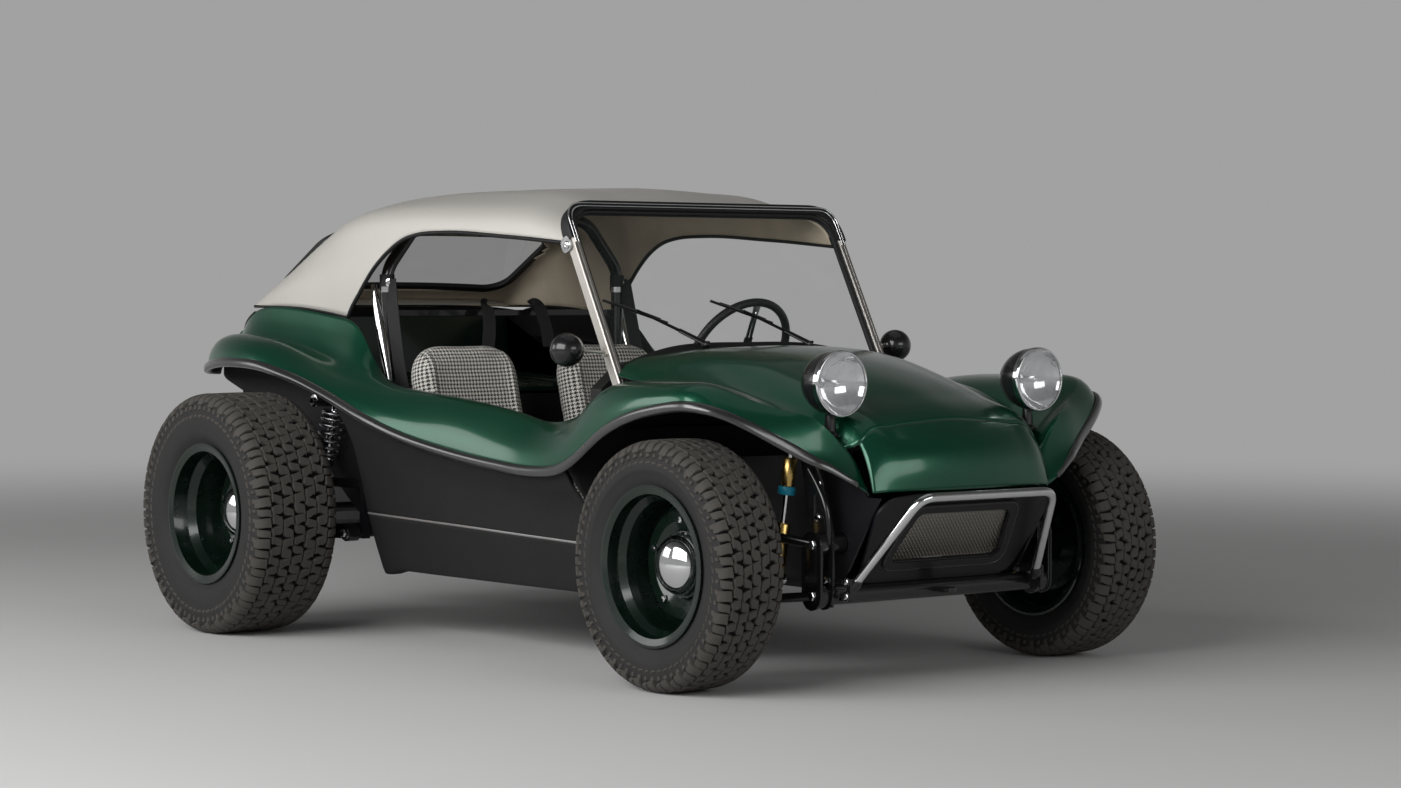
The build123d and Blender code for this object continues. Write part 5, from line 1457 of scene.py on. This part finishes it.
def strap(points, width, thick, facing_way):
    """Flat webbing along a path; facing_way is the direction that its flat side looks to."""
    w, t = width / 2, thick / 2
    return band(along(points, 60), facing_way, [(-w, -t), (-w, t), (w, t), (w, -t)])


def bolt(shape, centre, axis, radius=9.0, height=7.0, washer=True):
    """Hexagon head on a washer, standing out along the axis."""
    axis = np.asarray(axis, float)
    if washer:
        ring = [(-1, radius * 1.7), (2, radius * 1.7), (2.6, radius * 1.55), (2.6, 0.4)]
        shape.lathe(ring, axis, centre, 28)
    top = 2.6 + height
    head = [(-1, radius), (2.6 + height * 0.8, radius), (top, radius * 0.85), (top, 0.4)]
    shape.lathe(head, axis, centre, 6)


def build_cabin():
    """Belts, clamps, the roll bar's stays, and the dials."""
    belts = Shape()
    metal = Shape()
    upright = (0, 0, 1)
    outer = np.array([(-686, 470, 1118), (-668, 474, 1040), (-640, 478, 930), (-610, 480, 820),
                      (-590, 481, 760)])
    inner = np.array([(-690, 96, 1030), (-672, 100, 1036), (-640, 110, 985), (-628, 122, 900)])
    for side in (1, -1):
        turn = [1, side, 1]
        for run in (0, 26):
            belts.rod(strap((outer + [run, 0, 0]) * turn, 46 - run * 0.5, 2.4, (0, side, 0)))
        belts.rod(strap(inner * turn, 48, 2.4, (0.96, 0, 0.25)))
        belts.lathe([(-26, 0.5), (-26, 24), (26, 24), (26, 0.5)], upright, (-706, 462 * side, 1108), 40)
        metal.lathe([(-9, 6), (-9, 25.5), (9, 25.5), (9, 6)], upright, (-706, 462 * side, 1086), 40)
        bolt(metal, (-682, 470 * side, 1108), (0.6, side * 0.8, 0), 8, 6)
        stay = along_straight([(-748, 486 * side, 1100), (-640, 492 * side, 770)], 30)
        metal.rod(tube(stay, 7 + 9 * np.sin(np.linspace(0.25, 2.9, 30)), 18))
    belts.outward()
    metal.outward()
    make("belts", belts, "chassis", ["webbing"], (), smooth=40)
    make("cabin_brights", metal, "chassis", ["polished"], (), smooth=45)
    dials = Shape()
    glass = Shape()
    ahead = (1, 0, 0)
    for y, z, r in ((285, 838, 46), (170, 842, 27), (108, 842, 27), (46, 842, 27)):
        dials.lathe([(6, r), (0, r + 4), (-8, r + 3), (-9, r - 2), (-3, r - 2), (2, r - 4), (4, 0.4)], ahead,
                    (468, y, z), 48)
        glass.lathe([(0.5, r - 3), (-0.5, r - 3), (-0.6, 0.3)], ahead, (466, y, z), 40)
    dials.outward()
    make("dial_rings", dials, "chassis", ["brushed_alloy"], (), smooth=40)
    make("dial_faces", glass, "chassis", ["dial_black"], (), smooth=40)


# Steering wheel: its middle, and the direction that its column comes from.
WHEEL_MID = np.array([160.0, SEAT_Y, 895])
COLUMN = np.array([-0.864, 0, 0.5035])


def spoke_strip(metal, out, run, half, shift=0.0):
    """Flat strip of a spoke, from run's first distance to its last, half as wide as twice half."""
    centre = WHEEL_MID - COLUMN * np.interp(run, [30, 170], [24, 6])[:, None] + out * run[:, None] + shift
    metal.rod(band(centre, COLUMN, [(-half, -1.6), (-half, 1.6), (half, 1.6), (half, -1.6)]))


def build_wheel():
    """Steering wheel: a thick grip, three pierced spokes and a dished boss."""
    up = np.array([0.5035, 0, 0.864])
    side = np.array([0, 1.0, 0])
    a = np.linspace(0, TAU, 180, endpoint=False)
    line = WHEEL_MID + 178 * (np.cos(a)[:, None] * side + np.sin(a)[:, None] * up)
    grip = Shape().hoop(tube(line, 13.0, 24, closed=True))
    grip.outward()
    make("wheel_grip", grip, "handwheel", ["grip_black"], ("steering_wheel",), smooth=60)
    metal = Shape()
    run = np.linspace(30, 170, 24)
    width = np.interp(run, [30, 60, 140, 170], [20, 15, 12, 17])
    for t in np.radians([90, 210, 330]):
        out = np.cos(t) * side + np.sin(t) * up
        cross = -np.sin(t) * side + np.cos(t) * up
        for edge in (-1, 1):
            spoke_strip(metal, out, run, 5, cross * (edge * width * 0.5)[:, None])
        spoke_strip(metal, out, np.array([30, 62]), 16)
        spoke_strip(metal, out, np.array([148, 172]), 12)
    metal.lathe([(-46, 0.5), (-46, 32), (-30, 36), (-24, 36), (-20, 33), (-20, 24), (-16, 22), (-9, 18),
                 (-7, 0.5)], COLUMN, WHEEL_MID, 72)
    metal.outward()
    make("wheel_spokes", metal, "handwheel", ["polished"], (), smooth=35)


# Wipers: the pivots on the windscreen's plane, the arm from a pivot, and half the blade.
WIPERS = [(-170, 116), (232, 113)]
WIPER_REACH = np.array([-210.0, 118])
BLADE_HALF = np.array([106.0, -38])


def flat_bar(path, out, wide, thick):
    """Flat bar along a path, whose width tapers; wide gives half the width at each point."""
    section = np.array([(-1, -0.5), (-1, 0.2), (-0.7, 0.5), (0.7, 0.5), (1, 0.2), (1, -0.5)])
    n = np.asarray(out, float)
    side = np.cross(np.gradient(path, axis=0), n)
    side /= np.linalg.norm(side, axis=1, keepdims=True)
    return (path[:, None] + side[:, None] * section[None, :, :1] * np.asarray(wide)[:, None, None]
            + n * section[None, :, 1:] * thick)


def build_wipers():
    """Wiper blades with their bridges, arms with a spring hinge, and the spindle caps."""
    dark = Shape()
    light = Shape()
    for y, up in WIPERS:
        pivot = np.array([y, up], float)
        hold = pivot + WIPER_REACH
        run = np.linspace(-1, 1, 48)
        spot = hold + BLADE_HALF * run[:, None]
        blade = on_screen(spot[:, 0], spot[:, 1], 7.4)
        dark.rod(band(blade, SCREEN_OUT, [(-1.2, -4.2), (-4.4, 0.5), (-3.4, 3.2), (3.4, 3.2), (4.4, 0.5),
                                          (1.2, -4.2)]))
        arch = on_screen(spot[6:-6, 0], spot[6:-6, 1], 11.0 + 6.0 * np.cos(np.pi / 2 * run[6:-6]) ** 0.5)
        dark.rod(flat_bar(arch, SCREEN_OUT, np.full(len(arch), 3.0), 2.6))
        step = np.linspace(0, 1, 14)
        for first, last, low, high, wide in ((0.0, 0.4, 27.0, 25.0, (8.5, 7.0)),
                                             (0.4, 1.0, 25.0, 18.0, (4.6, 3.2))):
            line = pivot + WIPER_REACH * (first + (last - first) * step)[:, None]
            path = on_screen(line[:, 0], line[:, 1], low + (high - low) * step)
            light.rod(flat_bar(path, SCREEN_OUT, wide[0] + (wide[1] - wide[0]) * step, 5.0))
        light.lathe([(11, 12), (24, 11), (30, 8.5), (33, 5), (34, 0.4)], SCREEN_OUT, on_screen(y, up), 32)
        bolt(light, on_screen(y, up, 33.0), SCREEN_OUT, 4.5, 4, washer=False)
    dark.outward()
    light.outward()
    make("wiper_blades", dark, "chassis", ["trim_rubber"], ("wipers",), smooth=40)
    make("wiper_arms", light, "chassis", ["black_gloss"], (), smooth=40)


def coil(foot, top, radius, wire, turns, start, end):
    """Helix spring on the line from foot to top, between two shares of it, its ends closed up flat."""
    way = (top - foot) / np.linalg.norm(top - foot)
    side = np.cross(way, [0, 1, 0])
    side /= np.linalg.norm(side)
    other = np.cross(way, side)
    a = np.linspace(0, TAU * turns, int(turns * 26))
    s = np.linspace(0, 1, len(a))
    rise = np.linalg.norm(top - foot) * (start + (end - start) * (s - 0.035 * np.sin(TAU * s)))
    line = foot + way * rise[:, None] + radius * (np.cos(a)[:, None] * side + np.sin(a)[:, None] * other)
    return tube(line, wire, 14)


# Dampers: the lower and the upper eye of the left ones.
REAR_FOOT = np.array([-916 + 0.18 * 276, 600.0, 490])
REAR_TOP = np.array([-916 + 0.373 * 276, 586.0, 710])
FRONT_FOOT = np.array([1232.0, 462, 300])
FRONT_TOP = np.array([1264.0, 432, 668])


def build_springs():
    """Dampers with their springs, perches, collars and nuts, front and rear."""
    dark, light, gold, cyan = (Shape() for _ in range(4))
    way = (REAR_TOP - REAR_FOOT) / np.linalg.norm(REAR_TOP - REAR_FOOT)
    ahead = (FRONT_TOP - FRONT_FOOT) / np.linalg.norm(FRONT_TOP - FRONT_FOOT)
    eye = [(-24, 8), (-24, 17.5), (24, 17.5), (24, 8)]
    for side in (1, -1):
        turn = np.array([1, side, 1.0])
        foot = REAR_FOOT * turn
        w = way * turn
        dark.rod(coil(foot, REAR_TOP * turn, 37, 6.0, 6.5, 0.30, 0.92))
        for at, r in ((62, 43), (207, 41)):
            light.lathe([(at - 4, 12), (at - 4, r - 3), (at - 2, r), (at + 3, r), (at + 5, r - 3),
                         (at + 5, 12)], w, foot, 48)
        light.lathe([(0, 15), (4, 18), (26, 18), (30, 23), (112, 23), (116, 21), (116, 8)], w, foot, 40)
        light.grid(turned([(100, 13), (226, 13)], w, foot, 24))
        for at in (38, 44, 50):
            light.lathe([(at - 2, 20), (at, 25.5), (at + 2, 25.5), (at + 4, 20)], w, foot, 40)
        bolt(light, foot + [0, 12 * side, 0], (0, side, 0), 11, 9)
        bolt(light, (REAR_TOP[0], 668 * side, 730), (0, side, 0), 12, 8)
        low, high = FRONT_FOOT * turn, FRONT_TOP * turn
        a = ahead * turn
        gold.lathe([(12, 14), (14, 20), (20, 21.5), (150, 21.5), (154, 19), (156, 8)], a, low, 48)
        cyan.lathe([(232, 9), (232, 22), (235, 24), (252, 24), (255, 22), (255, 9)], a, low, 48)
        light.grid(turned([(150, 8.6), (236, 8.6)], a, low, 24))
        gold.lathe([(252, 8), (252, 17), (256, 19), (330, 19), (334, 16), (336, 8)], a, low, 48)
        light.lathe([(330, 8), (330, 13), (346, 13), (350, 10), (350, 8)], a, low, 32)
        light.lathe(eye, (0, 1, 0), high + [0, 0, 6], 36)
        light.lathe(eye, (0, 1, 0), low, 36)
        bolt(light, high + [0, 22 * side, 6], (0, side, 0), 9, 9)
        bolt(light, low + [0, 27 * side, 0], (0, side, 0), 9, 9)
        for x, y, z, radius, height in ((1352, 429, 258, 13, 9), (1352, 429, 398, 13, 9),
                                        (1330, 394, 470, 7, 6), (1330, 394, 560, 7, 6),
                                        (1276, 394, 640, 7, 6), (1366, 394, 300, 7, 6),
                                        (1414, 367, 258, 8, 7), (1414, 367, 298, 8, 7)):
            bolt(light, (x, y * side, z), (0, side, 0), radius, height)
        for z, up in ((228, -1), (446, 1)):
            bolt(light, (1116, 585 * side, z), (0, 0, up), 10, 8)
        bolt(light, (-640, 664 * side, 318), (0, side, 0), 13, 9)
    for shape in (dark, light, gold, cyan):
        shape.outward()
    make("rear_springs", dark, "chassis", ["spring_steel"], ("rear_coilovers",), smooth=60)
    make("bright_fittings", light, "chassis", ["polished"], (), smooth=35)
    make("front_damper_bodies", gold, "chassis", ["gold_body"], ("front_dampers",), smooth=40)
    make("damper_collars", cyan, "chassis", ["cyan_ring"], (), smooth=40)


def build_camera():
    """Camera at the photograph's place, from the wheels and the body's symmetry."""
    yaw, pitch, roll = np.radians([51.28, 0.90, 0.14])
    forward = np.array([-np.sin(yaw) * np.cos(pitch), np.cos(yaw) * np.cos(pitch), -np.sin(pitch)])
    right = np.array([np.cos(yaw), np.sin(yaw), 0])
    up = np.cross(right, forward)
    r = right * np.cos(roll) + up * np.sin(roll)
    u = np.cross(r, forward)
    data = bpy.data.cameras.new("Camera")
    data.sensor_width = 36
    data.lens = 82.73
    data.shift_y = -0.0425
    data.clip_end = 100
    obj = bpy.data.objects.new("Camera", data)
    bpy.context.scene.collection.objects.link(obj)
    obj.matrix_world = Matrix(((r[0], u[0], -forward[0], 7.969), (r[1], u[1], -forward[1], -6.130),
                               (r[2], u[2], -forward[2], 1.106), (0, 0, 0, 1)))
    bpy.context.scene.camera = obj


def lamp(name, place, aim, size, power):
    """Soft rectangular lamp at a place, turned to what it aims at."""
    data = bpy.data.lights.new(name, "AREA")
    data.shape = "RECTANGLE"
    data.size, data.size_y = size
    data.energy = power
    obj = bpy.data.objects.new(name, data)
    bpy.context.scene.collection.objects.link(obj)
    obj.location = place
    obj.rotation_euler = (Vector(aim) - Vector(place)).to_track_quat("-Z", "Y").to_euler()


def build_stage(props):
    """Pale floor that fades with distance into the even grey of the world, and soft lamps above."""
    shade = 0.36
    floor = Look("stage_floor")
    away = floor.node("ShaderNodeVectorMath", "Value", {"operation": "LENGTH"}, Vector=floor.place())
    far = floor.node("ShaderNodeMapRange", settings={"interpolation_type": "SMOOTHERSTEP"},
                     Value=away, From_Min=3.0, From_Max=12.0)
    near = floor.mix(floor.noise(0.7, 3), (0.60, 0.60, 0.595), (0.64, 0.64, 0.635))
    floor.set(Base_Color=floor.mix(far, near, (0.95, 0.95, 0.95)), Roughness=0.8, Specular_IOR_Level=0.1)
    glow = floor.node("ShaderNodeEmission", Color=(shade, shade, shade), Strength=1.0)
    blend = floor.tree.nodes.new("ShaderNodeMixShader")
    floor.feed(blend.inputs[0], far)
    floor.tree.links.new(floor.shader.outputs[0], blend.inputs[1])
    floor.tree.links.new(glow.socket, blend.inputs[2])
    floor.tree.links.new(blend.outputs[0], floor.tree.nodes["Material Output"].inputs["Surface"])
    turn = np.linspace(0, TAU, 96, endpoint=False)
    disc = np.stack([np.stack([r * np.cos(turn), r * np.sin(turn), 0 * turn], -1) for r in (40, 9, 4, 0.001)])
    mesh = bpy.data.meshes.new("floor")
    mesh.from_pydata(disc.reshape(-1, 3).tolist(), [], grid_faces(4, 96, False, True).tolist())
    mesh.materials.append(floor.material)
    obj = bpy.data.objects.new("floor", mesh)
    bpy.context.scene.collection.objects.link(obj)
    world = bpy.data.worlds.new("studio")
    bpy.context.scene.world = world
    world.use_nodes = True
    tree = world.node_tree
    way = tree.nodes.new("ShaderNodeTexCoord")
    split = tree.nodes.new("ShaderNodeSeparateXYZ")
    ramp = tree.nodes.new("ShaderNodeValToRGB")
    tree.links.new(way.outputs["Generated"], split.inputs[0])
    tree.links.new(split.outputs["Z"], ramp.inputs[0])
    tree.links.new(ramp.outputs[0], tree.nodes["Background"].inputs[0])
    stops = [(0.0, shade), (0.12, shade), (0.34, 0.19), (0.6, 0.07), (1.0, 0.05)]
    for spot, (height, value) in enumerate(stops):
        stop = ramp.color_ramp.elements[spot] if spot < 2 else ramp.color_ramp.elements.new(height)
        stop.position = height
        stop.color = (value, value, value, 1)
    lamp("Key", (1.2, -6.6, 3.5), (0, 0, 0.7), (7.5, 3.6), props.light * 470)
    lamp("Top", (0.0, 0.5, 6.5), (0, 0, 0.5), (7, 5), props.light * 24)
    lamp("Front", (6.5, 0.5, 2.2), (0.8, 0, 0.6), (3.5, 1.6), props.light * 50)
    lamp("Fill", (-4.5, -5.0, 2.4), (0, 0, 0.6), (3, 2), props.light * 50)
    bpy.context.scene.view_settings.view_transform = "Standard"


# Look of each node of the frame.
FINISHES = {
    "side_satin": "side_skirts nose_panel floor_pan rear_subframe",
    "polished": "front_bumper rear_bumper",
    "brushed_alloy": "windscreen_frame",
    "clear_pane": "window_panes",
    "top_silver": "hardtop",
    "cabin_black": "dashboard steering_column",
    "bar_gloss": "roll_bar",
    "black_gloss": "steering_wheel headlamp_bowls mirrors wipers front_beam steering_rack front_arms "
                   "rear_arms",
    "lens_glass": "headlamp_lenses",
    "gold_body": "front_dampers",
    "cast": "knuckle_left knuckle_right axle_left axle_right",
    "machined": "tie_rod_left tie_rod_right rear_coilovers",
    "wire_metal": "grille",
    "engine_black": "motor",
    "red_lens": "tail_lamps",
    "houndstooth": "seat_bases seat_backs",
    "wheel_lacquer": "rim_front_left rim_front_right rim_rear_left rim_rear_right",
    "tyre_side": "tyre_front_left tyre_front_right tyre_rear_left tyre_rear_right",
}


def build_finishes():
    """Gives each node of the frame its finish."""
    for look, nodes in FINISHES.items():
        for node in nodes.split():
            for slot in bpy.data.objects[node].material_slots:
                slot.material = bpy.data.materials[look]


class BuggyColours(bpy.types.PropertyGroup):
    """Colours and light of the buggy."""

    body_colour: bpy.props.FloatVectorProperty(
        name="Body colour", description="Base colour of the body's lacquer", subtype="COLOR", size=3,
        default=(0.003, 0.075, 0.038))
    wheel_colour: bpy.props.FloatVectorProperty(
        name="Wheel colour", description="Base colour of the wheels' lacquer", subtype="COLOR", size=3,
        default=(0.001, 0.009, 0.005))
    top_colour: bpy.props.FloatVectorProperty(
        name="Top colour", description="Base colour of the hardtop", subtype="COLOR", size=3,
        default=(0.23, 0.220, 0.205))
    light: bpy.props.FloatProperty(
        name="Light", description="Strength of the studio lamps", default=1.0, min=0.0)


def operator(label, identifier, work, words):
    """Makes an operator class that runs one building function with the scene's settings."""

    def execute(self, context):
        work(context.scene.buggy)
        return {"FINISHED"}

    return type("BUGGY_OT_" + identifier, (bpy.types.Operator,), {
        "bl_idname": "buggy." + identifier, "bl_label": label, "bl_options": {"REGISTER", "UNDO"},
        "__doc__": words, "execute": execute})


OPERATORS = [
    operator("Finishes", "finishes", lambda props: (wanted(props), build_finishes()), "Make the materials"),
    operator("Body", "body", lambda props: (build_body(), build_shelf(), build_trim()), "Build the body"),
    operator("Side panels", "side_panels", lambda props: build_skirts(), "Build the black lower sides"),
    operator("Hardtop", "hardtop", lambda props: (build_hardtop(), build_panes()), "Build the top and panes"),
    operator("Windscreen", "windscreen", lambda props: build_screen(), "Build the windscreen's frame"),
    operator("Lamps", "lamps", lambda props: build_lamps(), "Build the headlamps"),
    operator("Mirrors", "mirrors", lambda props: build_mirrors(), "Build the mirrors"),
    operator("Nose", "nose", lambda props: (build_grille(), build_bumper()), "Build the grille and bumper"),
    operator("Seats", "seats", lambda props: build_seats(), "Build the seats' covers"),
    operator("Cabin", "cabin", lambda props: (build_cabin(), build_wheel()), "Build belts, dials and wheel"),
    operator("Wipers", "wipers", lambda props: build_wipers(), "Build the wipers"),
    operator("Springs", "springs", lambda props: build_springs(), "Build dampers, springs and bolts"),
    operator("Hub caps", "hub_caps", lambda props: build_caps(), "Build the hub caps and nuts"),
    operator("Tyres", "tyres", lambda props: build_tyres(), "Build the tyres with their lugs"),
    operator("Stage", "stage", lambda props: (build_camera(), build_stage(props)), "Build the stage"),
]


class BUGGY_PT_panel(bpy.types.Panel):
    """Panel with one button for each group of pieces."""

    bl_label = "Buggy"
    bl_space_type = "VIEW_3D"
    bl_region_type = "UI"
    bl_category = "Buggy"

    def draw(self, context):
        for prop in ("body_colour", "wheel_colour", "top_colour", "light"):
            self.layout.prop(context.scene.buggy, prop)
        for kind in OPERATORS:
            self.layout.operator(kind.bl_idname)


def register():
    bpy.utils.register_class(BuggyColours)
    bpy.types.Scene.buggy = bpy.props.PointerProperty(type=BuggyColours)
    for kind in OPERATORS:
        bpy.utils.register_class(kind)
    bpy.utils.register_class(BUGGY_PT_panel)


def unregister():
    bpy.utils.unregister_class(BUGGY_PT_panel)
    for kind in reversed(OPERATORS):
        bpy.utils.unregister_class(kind)
    del bpy.types.Scene.buggy
    bpy.utils.unregister_class(BuggyColours)


def main():
    register()
    for kind in OPERATORS:
        group, name = kind.bl_idname.split(".")
        getattr(getattr(bpy.ops, group), name)()


if __name__ == "__main__":
    main()
